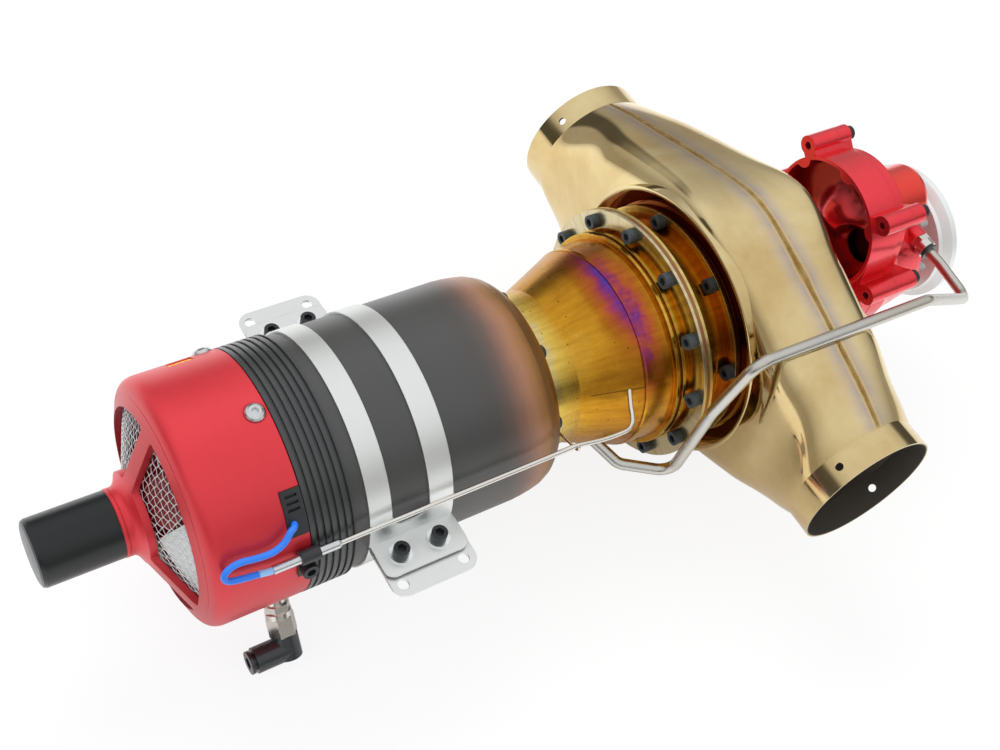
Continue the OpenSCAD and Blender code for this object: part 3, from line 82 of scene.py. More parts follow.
def at(x, turn, r):
    """A point in millimetres at station x, radius r, turned from +Y towards +Z by `turn` degrees."""
    a = math.radians(turn)
    return (x, r * math.cos(a), r * math.sin(a))


def through(points, steps):
    """A smooth line through points b and c with neighbours a and d, at u from 0 to 1:
    0.5 (2b + (c - a) u + (2a - 5b + 4c - d) u2 + (3b - a - 3c + d) u3)."""
    p = np.asarray(points, float)
    p = np.vstack([p[:1], p, p[-1:]])
    a, b, c, d = (p[i:len(p) - 3 + i, None] for i in range(4))
    u = np.linspace(0, 1, steps, endpoint=False)[None, :, None]
    line = 0.5 * (2 * b + (c - a) * u + (2 * a - 5 * b + 4 * c - d) * u ** 2
                  + (3 * b - a - 3 * c + d) * u ** 3)
    return np.vstack([line.reshape(-1, 3), p[-1:]])


def bar(line, radius, sides, aside):
    """A round bar along a line: the ring at station c is c + r (cos t . u + sin t . v), with u
    square to the path and to `aside` and v square to both. The first and last rings shrink
    to a point, so the ends are closed."""
    line = np.asarray(line, float)
    step = np.diff(line, axis=0)
    step /= np.linalg.norm(step, axis=1, keepdims=True)
    way = np.vstack([step[:1], step[:-1] + step[1:], step[-1:]])
    way /= np.linalg.norm(way, axis=1, keepdims=True)
    u = np.cross(way, aside)
    u /= np.linalg.norm(u, axis=1, keepdims=True)
    v = np.cross(way, u)
    pick = np.concatenate([[0], np.arange(len(line)), [len(line) - 1]])
    r = np.broadcast_to(radius, len(line))[pick].copy()
    r[[0, -1]] = 0
    a = np.linspace(0, 2 * np.pi, sides, endpoint=False)[None, :, None]
    return line[pick, None] + r[:, None, None] * (np.cos(a) * u[pick, None] + np.sin(a) * v[pick, None])


def piece(name, grids, finish, body, wraps=(False, True), sharp=35, keep=None):
    """One piece from grids of points in millimetres, each rows by columns. Quads join every
    point to its neighbours, rows and columns close on themselves where `wraps` says so, and a
    grid that encloses a negative volume is turned the right way out."""
    verts, faces, start = [], [], 0
    for grid in grids:
        n, m = grid.shape[:2]
        i, j = np.meshgrid(np.arange(n - (not wraps[0])), np.arange(m - (not wraps[1])), indexing="ij")
        i2, j2 = (i + 1) % n, (j + 1) % m
        quad = np.stack([i * m + j, i2 * m + j, i2 * m + j2, i * m + j2], -1).reshape(-1, 4)
        flat = grid.reshape(-1, 3)
        if keep is not None:
            quad = quad[keep(flat[quad].mean(1))]
        a, b, c, d = (flat[quad[:, k]] for k in range(4))
        if (a * np.cross(b, c)).sum() + (a * np.cross(c, d)).sum() < 0:
            quad = quad[:, ::-1]
        verts.append(flat)
        faces.append(quad + start)
        start += len(flat)
    mesh = bpy.data.meshes.new(name)
    mesh.from_pydata((np.vstack(verts) / 1000).tolist(), [], np.vstack(faces).tolist())
    mesh.validate()
    mesh.shade_smooth()
    mesh.set_sharp_from_angle(angle=math.radians(sharp))
    mesh.materials.append(finish)
    made = bpy.data.objects.new(name, mesh)
    bpy.context.scene.collection.objects.link(made)
    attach(made, body)
    return made


def node(tree, kind, props=(), **inputs):
    """Adds a shader node. A keyword names an input, with _ for a space, or i0, i1 for its place;
    a socket is wired to it and anything else is set on it."""
    made = tree.nodes.new("ShaderNode" + kind)
    for key, value in dict(props).items():
        setattr(made, key, value)
    for key, value in inputs.items():
        place = made.inputs[int(key[1:])] if key[0] == "i" and key[1:].isdigit() \
            else made.inputs[key.replace("_", " ")]
        if isinstance(value, bpy.types.NodeSocket):
            tree.links.new(value, place)
        else:
            place.default_value = value
    return made


def sums(tree, how, a, b=0.0, c=0.0):
    """A math node's result."""
    return node(tree, "Math", {"operation": how}, i0=a, i1=b, i2=c).outputs[0]


def plus(tree, a, b):
    """a + b"""
    return sums(tree, "ADD", a, b)


def minus(tree, a, b):
    """a - b"""
    return sums(tree, "SUBTRACT", a, b)


def times(tree, a, b):
    """a times b"""
    return sums(tree, "MULTIPLY", a, b)


def muladd(tree, a, b, c):
    """a times b, plus c"""
    return sums(tree, "MULTIPLY_ADD", a, b, c)


def here(tree):
    """Where a shaded point lies on the object, in metres."""
    return node(tree, "TexCoord").outputs["Object"]


def axes(tree):
    """The same point's X, Y and Z."""
    return node(tree, "SeparateXYZ", Vector=here(tree)).outputs


def noise(tree, where, scale, detail=3.0, roughness=0.55, distortion=0.0):
    """A noise texture's value, 0 to 1, with `scale` cells to the metre."""
    return node(tree, "TexNoise", Vector=where, Scale=scale, Detail=detail, Roughness=roughness,
                Distortion=distortion).outputs["Fac"]


def ramp(tree, factor, stops):
    """A colour ramp's colour; the stops are (place, paint code)."""
    made = node(tree, "ValToRGB", Fac=factor)
    made.color_ramp.elements.remove(made.color_ramp.elements[1])
    made.color_ramp.elements[0].position = stops[0][0]
    made.color_ramp.elements[0].color = tone(stops[0][1])
    for place, code in stops[1:]:
        made.color_ramp.elements.new(place).color = tone(code)
    return made.outputs["Color"]


def mixed(tree, factor, a, b, how="MIX"):
    """Two colours mixed. Each is a socket or a paint code."""
    a, b = (tone(v) if isinstance(v, str) else v for v in (a, b))
    return node(tree, "Mix", {"data_type": "RGBA", "blend_type": how}, i0=factor, i6=a, i7=b).outputs[2]


def spread(tree, value, low, high, to_low=0.0, to_high=1.0):
    """A value from low..high stretched to to_low..to_high and held there. The value may fall
    from low to high."""
    return node(tree, "MapRange", i0=value, i1=low, i2=high, i3=to_low, i4=to_high).outputs[0]


def material(name, **sockets):
    """A material with one Principled shader. Keywords are its inputs, with _ for a space."""
    made = bpy.data.materials.new(name)
    made.use_nodes = True
    tree = made.node_tree
    tree.nodes.clear()
    shader = tree.nodes.new("ShaderNodeBsdfPrincipled")
    out = tree.nodes.new("ShaderNodeOutputMaterial")
    tree.links.new(shader.outputs[0], out.inputs[0])
    for key, value in sockets.items():
        shader.inputs[key.replace("_", " ")].default_value = value
    return made, tree, shader


def group(name, takes, gives, kind="Float"):
    """An empty shader node group. It takes numbers, as (name, start value), and gives `kind`."""
    made = bpy.data.node_groups.new(name, "ShaderNodeTree")
    for label, value in takes:
        made.interface.new_socket(name=label, in_out="INPUT",
                                  socket_type="NodeSocketFloat").default_value = value
    for label in gives:
        made.interface.new_socket(name=label, in_out="OUTPUT", socket_type="NodeSocket" + kind)
    return made, made.nodes.new("NodeGroupInput").outputs, made.nodes.new("NodeGroupOutput").inputs


def place(tree, made, **inputs):
    """Puts a node group in a tree with its own values and returns its outputs."""
    return node(tree, "Group", {"node_tree": made}, **inputs).outputs


# A fine skin for mouldings, paint and anodising: clouded roughness over a fine grain.
satin_skin, takes, gives = group(
    "satin_skin", [("Roughness", 0.4), ("Clouding", 0.06), ("Grain", 3500.0)],
    ("Roughness", "Height", "Cloud"))
cloud = noise(satin_skin, here(satin_skin), 55.0, 5.0, 0.6)
grain = noise(satin_skin, here(satin_skin), takes["Grain"], 2.0, 0.5)
both = plus(satin_skin, times(satin_skin, cloud, 1.6), times(satin_skin, grain, 0.4))
satin_skin.links.new(muladd(satin_skin, minus(satin_skin, both, 1.0), takes["Clouding"], takes["Roughness"]),
                     gives["Roughness"])
satin_skin.links.new(grain, gives["Height"])
satin_skin.links.new(cloud, gives["Cloud"])


def wired(tree, shader, colour, roughness, height=None, depth=0.0, edge=0.0):
    """Gives the shader its colour and roughness, and a bump of `depth` metres from a height.
    `edge` is the radius to which the light rounds sharp edges, in metres."""
    tree.links.new(colour, shader.inputs["Base Color"])
    tree.links.new(roughness, shader.inputs["Roughness"])
    if height is not None:
        bump = node(tree, "Bump", Strength=1.0, Distance=depth, Height=height)
        if edge:
            tree.links.new(node(tree, "Bevel", {"samples": 4}, Radius=edge).outputs[0], bump.inputs["Normal"])
        tree.links.new(bump.outputs[0], shader.inputs["Normal"])


def satin(name, light, dark, rough, clouding, grain, depth=0.0, edge=0.0, **sockets):
    """A material with the satin skin, clouded between two paint codes."""
    made, tree, shader = material(name, **sockets)
    skin = place(tree, satin_skin, Roughness=rough, Clouding=clouding, Grain=grain)
    wired(tree, shader, mixed(tree, skin["Cloud"], dark, light), skin["Roughness"],
          skin["Height"] if depth else None, depth, edge)
    return made, tree, shader


def overlaid(tree, shader, mask, code):
    """Lays a paint code over the shader's colour where the mask is 1."""
    base = shader.inputs["Base Color"]
    tree.links.new(mixed(tree, mask, base.links[0].from_socket, code), base)


def dress(finish, *names):
    """Gives CAD pieces their finish."""
    for name in names:
        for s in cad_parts[name].material_slots:
            s.material = finish


lead_blue, tree, shader = satin("lead_blue", "#2f86f2", "#1763d8", 0.3, 0.08, 2500.0, 0.00003,
                                Specular_IOR_Level=0.5, Coat_Weight=0.1)
# A paler sleeve is slipped over the lead where it enters the ferrule.
part = axes(tree)
overlaid(tree, shader, times(tree, spread(tree, part["X"], -0.0556, -0.0552),
                             spread(tree, part["Z"], 0.0168, 0.0164)), "#8fc0ee")

SKIRT_REAR, SKIRT_R = -36.3, 42.8
PROBE_TURN, PROBE_LIFT, LEAD_R = 160.99, 2.787, 1.1
probe_y, probe_z = at(0, PROBE_TURN, SKIRT_R + PROBE_LIFT)[1:]
# Stops of the lead: millimetres in front of the skirt's rear, turn, and height over the skirt.
lead_stops = [(4.6, 146.2, -0.9), (4.6, 146.2, 0.6), (5.5, 146.4, 2.1), (7.1, 147.2, 2.8),
              (9.7, 150.6, 2.8), (13.7, 152.6, 2.8), (18.7, 152.4, 2.8), (24.2, 151.4, 2.8),
              (28.1, 152.4, 2.8), (29.9, 155, 2.8), (28.7, 157.6, 2.8), (24.7, 159, 2.8),
              (19.7, 160, 2.8), (15.7, 161, 2.8)]
lead_line = through([at(SKIRT_REAR - b, a, SKIRT_R + r) for b, a, r in lead_stops]
                    + [(SKIRT_REAR - 14.6, probe_y, probe_z), (SKIRT_REAR - 12.9, probe_y, probe_z)], 12)
blue_lead = piece("sensor_lead", [bar(lead_line, LEAD_R, 24, (1, -0.83, 0.55))], lead_blue,
                  "engine")
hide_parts("blue_lead")

# ---------------- worktop and lamps
# White paper under the lowest fitting, a pale room, one overhead softbox and two side
# panels. The paper shows white but keeps most of the engine's soft shadow.
PAPER_Z, HALF_PAPER = -0.0615, 3
MIRRORED, PAPER_GLOW = 0.15, 0.86
stage_z = min(cad_low[2], PAPER_Z)
floor_mesh = bpy.data.meshes.new("paper")
corners = (-1, -1), (1, -1), (1, 1), (-1, 1)
floor_mesh.from_pydata([(HALF_PAPER * x, HALF_PAPER * y, stage_z) for x, y in corners], [], [(0, 1, 2, 3)])
paper, tree, _ = material("paper")
tree.nodes.clear()
ray = node(tree, "LightPath").outputs
glossy = times(tree, ray["Is Glossy Ray"], MIRRORED)
seen = times(tree, sums(tree, "MAXIMUM", ray["Is Camera Ray"], sums(
    tree, "MAXIMUM", glossy, ray["Is Transmission Ray"])), PAPER_GLOW)
fibre = noise(tree, here(tree), 900.0)
matt = node(tree, "BsdfDiffuse", Color=mixed(tree, fibre, "#f4f4f4", "#fafafa")).outputs[0]
glow = node(tree, "Emission", Color=(1, 1, 1, 1), Strength=1.0).outputs[0]
mix = node(tree, "MixShader", i0=seen, i1=matt, i2=glow).outputs[0]
tree.links.new(mix, tree.nodes.new("ShaderNodeOutputMaterial").inputs[0])
floor_mesh.materials.append(paper)
floor = bpy.data.objects.new("paper", floor_mesh)
bpy.context.scene.collection.objects.link(floor)

world = bpy.data.worlds.new("room")
bpy.context.scene.world = world
world.use_nodes = True
tree = world.node_tree
tree.nodes.clear()
# Above eye level the room is a white ceiling; round its walls pale screens stand apart, with
# the dark room showing between them. Polished metal takes its stripes from these.
way = node(tree, "SeparateXYZ", Vector=node(tree, "TexCoord").outputs["Generated"]).outputs
walls = ramp(tree, spread(tree, way["Z"], -1.0, 1.0), [
    (0.0, "#b8b6b2"), (0.5, "#b4b1ab"), (0.6, "#b0ada8"), (0.72, "#d8d8d7"), (0.86, "#f6f6f6"),
    (1.0, "#f8f8f8")])
SCREENS, FIRST_SCREEN = 5.0, 0.6
bearing = sums(tree, "ARCTAN2", way["Y"], way["X"])
gap = sums(tree, "SINE", muladd(tree, bearing, SCREENS, FIRST_SCREEN))
dark = times(tree, spread(tree, gap, 0.25, 0.65, 0.0, 0.8), spread(tree, way["Z"], 0.46, 0.34))
room = mixed(tree, dark, walls, "#262320")
tree.links.new(node(tree, "Background", Color=room, Strength=1.0).outputs[0],
               tree.nodes.new("ShaderNodeOutputWorld").inputs[0])


def lamp(name, spot, target, size, power):
    """A soft white rectangular lamp at `spot`, turned towards `target`."""
    light = bpy.data.lights.new(name, "AREA")
    light.shape, (light.size, light.size_y) = "RECTANGLE", size
    light.energy = power
    made = bpy.data.objects.new(name, light)
    bpy.context.scene.collection.objects.link(made)
    aim = (Vector(target) - Vector(spot)).to_track_quat("-Z", "Y")
    made.matrix_world = Matrix.Translation(spot) @ aim.to_matrix().to_4x4()
    made.visible_glossy = False


lamp("overhead_softbox", (0.10, 0.55, 0.95), (0.07, 0.0, 0.0), (0.9, 0.45), 6.5)
lamp("left_panel", (-0.95, -0.15, 0.55), (0.0, 0.0, 0.0), (0.35, 0.7), 2.6)
lamp("right_panel", (0.55, -0.85, 0.45), (0.1, 0.0, 0.0), (0.6, 0.3), 1.6)

# ---------------- starter motor
# A small electric motor in a drawn steel can, satin black, spigoted into the hub.
# Its nose is painted a shade lighter, a painted sheen along its front edge; the rotor inside is bare steel and
# copper.
def length(tree, a, b):
    """sqrt(a2 + b2)"""
    return sums(tree, "SQRT", plus(tree, times(tree, a, a), times(tree, b, b)))


# A place on the engine: along its axis and out from it in metres, and round it in radians.
# The turn is 0 at the top and grows towards the probe's side; its seam is underneath.
polar, takes, gives = group("polar", (), ("Along", "Radius", "Turn"))
part = axes(polar)
polar.links.new(part["X"], gives["Along"])
polar.links.new(length(polar, part["Y"], part["Z"]), gives["Radius"])
polar.links.new(sums(polar, "ARCTAN2", times(polar, part["Y"], -1.0), part["Z"]), gives["Turn"])

# Lathe marks: fine rings whose pitch is in metres, broken up a little round the piece.
lathe_marks, takes, gives = group("lathe_marks", (("Pitch", 0.0003), ("Waver", 0.3)), ("Mark", "Height"))
round_it = place(lathe_marks, polar)
run = muladd(lathe_marks, round_it["Radius"], 0.8, round_it["Along"])
ring = sums(lathe_marks, "DIVIDE", run, takes["Pitch"])
waver = noise(lathe_marks, here(lathe_marks), 45.0)
fine, slow = (node(lathe_marks, "TexNoise", {"noise_dimensions": "1D"}, W=w, Scale=1.0,
                   Detail=detail).outputs[0]
              for w, detail in ((ring, 3.0), (times(lathe_marks, ring, 0.11), 2.0)))
mark = muladd(lathe_marks, minus(lathe_marks, waver, 0.5), takes["Waver"],
              muladd(lathe_marks, fine, 0.6, times(lathe_marks, slow, 0.4)))
lathe_marks.links.new(mark, gives["Mark"])
lathe_marks.links.new(fine, gives["Height"])

starter_black, tree, shader = satin("starter_black", "#0d1315", "#070b0d", 0.36, 0.07, 4200.0, 0.00002, 0.0003,
                                    Specular_IOR_Level=0.35, Coat_Weight=0.25, Coat_Roughness=0.2)
# A band of lighter black at the nose: a painted sheen.
overlaid(tree, shader, spread(tree, place(tree, polar)["Along"], -0.1095, -0.1114), "#161d20")
dress(starter_black, "starter_can")


def bare_metal(name, light, dark, rough, pitch=0.00025, edge=0.00015, metal=1.0):
    """Turned bare metal: lathe marks shift its colour and roughness between two tones."""
    made, tree, shader = material(name, Metallic=metal)
    marks = place(tree, lathe_marks, Pitch=pitch, Waver=0.25)
    skin = place(tree, satin_skin, Roughness=rough, Clouding=0.06, Grain=3000.0)
    rough = muladd(tree, marks["Mark"], 0.1, minus(tree, skin["Roughness"], 0.05))
    wired(tree, shader, mixed(tree, marks["Mark"], dark, light), rough, marks["Height"], 0.000012, edge)
    return made


dress(bare_metal("shaft_steel", "#a9abad", "#7f8286", 0.3),
      "starter_rotor", "rotor_shaft", "power_shaft", "prop_shaft")
# The layshaft and output gear are steel painted near black: painted shade inside the closed gearbox.
dress(bare_metal("shaded_gear_steel", "#35302e", "#211e1d", 0.36), "layshaft", "output_gear")
dress(bare_metal("bearing_steel", "#dcdfe2", "#b6babd", 0.16),
      "rotor_bearings", "power_bearings", "lay_bearings", "prop_bearings")

# ---------------- intake housing
# Turned aluminium, bead-blasted and anodised red: hub, three spokes, rounded shoulder and
# skirt in one piece. Its windows have milled round corners, and a fine line is turned in
# round them. Four stainless button screws hold it to the compressor's cover.
SLOPE, FACE_X, FACE_R, SPOKE_T, SKIRT_FRONT = 0.415, -80.1, 13, 2.6, -63.6
# A cutter's edges that turn by more than this, in radians, are its sharp ones. Drillings run
# out to the radius CLEAR, outside the skirt.
SHARP_TURN, CLEAR = 0.8, 50


def face(r):
    """Where the housing's conical front lies at radius r."""
    return FACE_X + SLOPE * (r - FACE_R)


def turned(profile, columns):
    """A closed profile of (x, r) swept round the engine's axis: (x, r cos a, r sin a)."""
    p = np.asarray(profile, float)[:, None]
    a = np.linspace(0, 2 * np.pi, columns, endpoint=False)[None]
    x, r = np.broadcast_to(p[..., 0], (len(p), columns)), p[..., 1]
    return np.stack([x, r * np.cos(a), r * np.sin(a)], -1)


def curve(a, b, c, d, steps):
    """A cubic Bezier curve: (1-u)3 a + 3 (1-u)2 u b + 3 (1-u) u2 c + u3 d."""
    u = np.linspace(0, 1, steps)[:, None]
    a, b, c, d = (np.array(v, float) for v in (a, b, c, d))
    return ((1 - u) ** 3 * a + 3 * (1 - u) ** 2 * u * b + 3 * (1 - u) * u ** 2 * c + u ** 3 * d).tolist()


def prism(outline, low, high, corner=0.0):
    """A closed prism: the outline moved by `low` at one end and by `high` at the other, with a
    quad from each point to the next. Its sharp long edges are rounded to the radius `corner`."""
    n = len(outline)
    i = np.arange(n)
    j = (i + 1) % n
    sides = np.column_stack([i, j, n + j, n + i])
    made = bpy.data.meshes.new("cutter")
    made.from_pydata(np.vstack([outline + np.array(low), outline + np.array(high)]).tolist(), [],
                     [i[::-1].tolist(), (n + i).tolist(), *sides.tolist()])
    shape = bmesh.new()
    shape.from_mesh(made)
    bmesh.ops.recalc_face_normals(shape, faces=shape.faces)
    if corner:
        lengthways = [e for e in shape.edges if abs(e.verts[0].index - e.verts[1].index) == n]
        sharp = [e for e in lengthways if e.calc_face_angle() > SHARP_TURN]
        bmesh.ops.bevel(shape, geom=sharp, offset=corner, segments=7, profile=0.5, affect="EDGES")
    shape.to_mesh(made)
    shape.free()
    return made


def sector(r0, r1, a0, a1, x0, x1, corner=0.0):
    """A prism along X over a ring's sector from a0 to a1 at each radius, in degrees."""
    (p0, q0), (p1, q1) = (np.radians(a0), np.radians(a1))
    outer, inner = np.linspace(p1, q1, 61), np.linspace(q0, p0, 31)
    yz = np.vstack([np.column_stack([r1 * np.cos(outer), r1 * np.sin(outer)]),
                    np.column_stack([r0 * np.cos(inner), r0 * np.sin(inner)])])
    return prism(np.column_stack([np.zeros(len(yz)), yz]), (x0, 0, 0), (x1, 0, 0), corner)


def drilling(x, turn, radius, depth):
    """A radial drilling of a radius, open outwards, whose floor is at radius `depth`."""
    t = math.radians(turn)
    out = np.array([0, math.cos(t), math.sin(t)])
    across = np.array([0, -math.sin(t), math.cos(t)])
    a = np.linspace(0, 2 * np.pi, 40, endpoint=False)[:, None]
    ring = np.array([x, 0, 0]) + radius * (np.cos(a) * np.array([1.0, 0, 0]) + np.sin(a) * across)
    return prism(ring, out * depth, out * CLEAR)


def cut(made, cutters):
    """Cuts a piece's mesh, in millimetres here, with closed cutters that don't touch each other."""
    tools = []
    for mesh in cutters:
        mesh.transform(Matrix.Scale(0.001, 4))
        tools.append(bpy.data.objects.new("cutter", mesh))
        bpy.context.scene.collection.objects.link(tools[-1])
        step = made.modifiers.new("cut", "BOOLEAN")
        step.operation, step.solver, step.object = "DIFFERENCE", "EXACT", tools[-1]
    shape = bpy.data.meshes.new_from_object(made.evaluated_get(bpy.context.evaluated_depsgraph_get()))
    made.modifiers.clear()
    made.data = shape
    for tool in tools:
        bpy.data.objects.remove(tool)
    shape.shade_smooth()
    shape.set_sharp_from_angle(angle=math.radians(32))


def anodised(name, light, dark, rough, metal, pitch, coat):
    """Dyed aluminium: clouded dye over faint lathe marks, with a clear oxide skin."""
    made, tree, shader = material(name, Metallic=metal, Specular_IOR_Level=0.6, Coat_Weight=coat,
                                  Coat_Roughness=0.3)
    marks = place(tree, lathe_marks, Pitch=pitch, Waver=0.2)
    skin = place(tree, satin_skin, Roughness=rough, Clouding=0.08, Grain=5200.0)
    dye = muladd(tree, marks["Mark"], 0.35, times(tree, skin["Cloud"], 0.65))
    height = muladd(tree, marks["Height"], 0.5, times(tree, skin["Height"], 0.5))
    wired(tree, shader, mixed(tree, dye, dark, light), skin["Roughness"], height, 0.00002, 0.0004)
    return made, tree, shader


red_anodised, tree, shader = anodised("red_anodised", "#dd3440", "#c9242e", 0.42, 0.45, 0.0004, 0.25)
# The front's cone and spokes are painted a deeper red than the blasted skirt, a painted shade.
seat = place(tree, polar)
overlaid(tree, shader, times(tree, spread(tree, seat["Along"], -0.0715, -0.0665, 0.6, 0.0),
                             spread(tree, seat["Radius"], 0.015, 0.021)), "#a01019")

skirt_inside = SKIRT_R - 2.6
profile = [(-84.8, 9.9), (-84.8, 11.3), (-84.5, 11.6), (-83.5, 11.6), (-83.35, 11.35), (-83.2, 11.6),
           (-82.2, 11.6)]
profile += curve((-82.0, 11.62), (-81.3, 11.7), (-80.4, 12.6), (face(14.4), 14.4), 10)
profile += [(face(r), r) for r in (17, 21, 25, 29, 33, 36, 38.3)]
profile += [(face(38.42) + 0.12, 38.42), (face(38.54) + 0.12, 38.54), (face(38.66), 38.66)]
profile += curve((face(39.2), 39.2), (face(41.2), 41.2), (-67.0, SKIRT_R), (SKIRT_FRONT, SKIRT_R), 18)
profile += [(x, SKIRT_R) for x in (-58, -52, -46, -40, -36.5)]
profile += [(SKIRT_REAR, SKIRT_R - 0.2), (SKIRT_REAR, skirt_inside), (-50, skirt_inside),
            (SKIRT_FRONT + 1.5, skirt_inside)]
profile += curve((SKIRT_FRONT + 0.6, skirt_inside), (SKIRT_FRONT - 1.6, skirt_inside),
                 (face(38) + SPOKE_T, 38), (face(37) + SPOKE_T, 37), 8)
profile += [(face(r) + SPOKE_T, r) for r in (30, 22, 13.4)] + [(-76.3, 13.4), (-76.3, 9.9)]
housing = piece("intake_shell", [turned(profile, 288)], red_anodised, "engine",
                wraps=(True, True))
WINDOW_IN, WINDOW_OUT, HALF_SPOKE, WINDOW_CORNER = 15.6, 34.7, 3.4, 2.0


def window(spoke):
    """A cutter for the window between the spoke at turn `spoke` and the next one, 120 further."""
    aside = [math.degrees(math.asin(HALF_SPOKE / r)) for r in (WINDOW_IN, WINDOW_OUT)]
    turns = [(spoke + a, spoke + 120 - a) for a in aside]
    return sector(WINDOW_IN, WINDOW_OUT, *turns, -90, -62, WINDOW_CORNER)


windows = [window(spoke) for spoke in (80.3, 200.3, 320.3)]
notch = sector(skirt_inside - 1, SKIRT_R + 1, (131, 152.4), (131, 152.4), SKIRT_REAR - 6.9, SKIRT_REAR + 1)
slot = sector(skirt_inside - 1, SKIRT_R + 1, (40, 47.4), (40, 47.4), SKIRT_REAR - 17.6, SKIRT_REAR - 9.2)
# Flat seats and clearance holes for the button screws, the hose elbow and the clip's screw.
SCREW_TURNS, ELBOW_TURN, CLIP_TURN = (96.4, 36.4, -23.6, -83.6), -128, 170
seat_floor, through_wall = SKIRT_R - 0.3, 38
seats = [drilling(SKIRT_REAR - 4.2, a, 3.6, seat_floor) for a in SCREW_TURNS]
seats += [drilling(SKIRT_REAR - 4.1, ELBOW_TURN, 4.2, seat_floor),
          drilling(SKIRT_REAR - 4.1, ELBOW_TURN, 2.55, through_wall)]
seats += [drilling(SKIRT_REAR - 4.2, a, 1.6, through_wall) for a in SCREW_TURNS]
seats += [drilling(SKIRT_REAR - 2.2, CLIP_TURN, 1.6, through_wall)]
cut(housing, windows + [notch, slot] + seats)
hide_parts("intake_housing")

dress(bare_metal("stainless_button", "#e6e8ea", "#c2c6c9", 0.24, 0.00018), "housing_screws")

# ---------------- intake gauze
# Woven stainless wire cloth at a 2.2 mm pitch, clamped behind the housing's spokes. Warp and weft pass over and
# under one another at every crossing.
WIRE, PITCH, TILT, WEAVE = 0.17, 2.2, math.radians(14), 0.2
GAUZE_X = SPOKE_T + 0.45


def gauze_wires(lane, phase):
    """Wires in one direction: wire k lies at offset k p from the middle, runs between the inner
    and outer rims of the cloth, and lies GAUZE_X behind the housing's face with a weave of
    h cos(pi t / p), whose sign changes from wire to wire."""
    inner, outer = 13.9, 36.3
    k = np.arange(-16, 17)
    off = k * PITCH
    off, k = off[np.abs(off) < outer - 1], k[np.abs(off) < outer - 1]
    far = np.sqrt(outer ** 2 - off ** 2)
    near = np.sqrt(np.maximum(inner ** 2 - off ** 2, 0))
    split = near > 0
    lo = np.concatenate([np.where(split, near, -far), -far[split]])
    hi = np.concatenate([far, -near[split]])
    off, k = np.concatenate([off, off[split]]), np.concatenate([k, k[split]])
    t = lo[:, None] + (hi - lo)[:, None] * np.linspace(0, 1, 120)[None]
    q = np.broadcast_to(off[:, None], t.shape)
    x = face(np.hypot(t, q)) + GAUZE_X + WEAVE * np.cos(np.pi * t / PITCH + np.pi * (k[:, None] + phase))
    c, s = math.cos(lane), math.sin(lane)
    line = np.stack([x, t * c - q * s, t * s + q * c], -1)
    way = np.gradient(line, axis=1)
    way /= np.linalg.norm(way, axis=2, keepdims=True)
    u = np.cross(way, np.array([1.0, 0, 0]))
    u /= np.linalg.norm(u, axis=2, keepdims=True)
    v = np.cross(way, u)
    a = np.linspace(0, 2 * np.pi, 5, endpoint=False)[None, None, :, None]
    r = np.full(t.shape[1], WIRE)
    r[[0, -1]] = 0
    return line[:, :, None] + r[None, :, None, None] * (np.cos(a) * u[:, :, None] + np.sin(a) * v[:, :, None])


mesh_steel = satin("mesh_steel", "#f2f4f4", "#d6dadc", 0.36, 0.1, 1500.0, Metallic=1.0)[0]
gauze = piece("intake_gauze", [*gauze_wires(TILT, 0), *gauze_wires(TILT + math.pi / 2, 1)], mesh_steel,
              "engine", sharp=80)
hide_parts("intake_mesh")

# ---------------- connector and plug
# A black nylon connector fills the notch in the skirt, and a yellow plug closes the
# service slot on the far side. Both are matt mouldings.


def moulded(name, light, dark, rough, grain=2600.0, coat=0.0):
    """A moulded plastic or rubber skin."""
    return satin(name, light, dark, rough, 0.09, grain, 0.00004, 0.0002,
                 Specular_IOR_Level=0.5, Coat_Weight=coat, Coat_Roughness=0.2)[0]


dress(moulded("plug_black", "#2a2d30", "#1b1e20", 0.5), "connector_block")
dress(moulded("plug_yellow", "#ffd51c", "#f0bd10", 0.42), "yellow_plug")

# ---------------- pump and valves
# The fuel pump and its valve blocks fill the room behind the gauze, their fronts sloped to
# follow it: an oxide-red pump body and pale grey valve blocks, matt with dust.
BODY_REAR, BEHIND_GAUZE = -46.5, 1.2


def behind_gauze(middle, outline):
    """A closed body of constant outline. Its front is rings that grow from the middle to the
    outline, each point BEHIND_GAUZE millimetres behind the gauze, and its back is flat."""
    step = np.append(0, np.cumsum(np.linalg.norm(np.diff(outline, axis=0, append=outline[:1]), axis=1)))
    want = np.linspace(0, step[-1], 96, endpoint=False)
    round_it = np.append(outline, outline[:1], axis=0)
    edge = np.column_stack([np.interp(want, step, round_it[:, i]) for i in (0, 1)])
    front = middle + np.linspace(0, 1, 12)[:, None, None] * (edge - middle)
    x = face(np.hypot(front[..., 0], front[..., 1])) + GAUZE_X + BEHIND_GAUZE
    front = np.concatenate([x[..., None], front], -1)
    back = np.stack([np.column_stack([np.full(len(edge), BODY_REAR), e])
                     for e in (edge, np.broadcast_to(middle, edge.shape))])
    return np.concatenate([front, back])


pump_red = moulded("pump_red", "#93292d", "#641a1d", 0.45)
PUMP_YZ, PUMP_R = np.array([-9.3, 18.6]), 8.8
turn = np.linspace(0, 2 * np.pi, 64, endpoint=False)
pump_rim = PUMP_YZ + PUMP_R * np.column_stack([np.cos(turn), np.sin(turn)])
pump = piece("pump_body", [behind_gauze(PUMP_YZ, pump_rim)], pump_red, "engine")
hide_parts("fuel_pump")
valve_grey = moulded("valve_grey", "#e6e9e9", "#c9cdcf", 0.5)
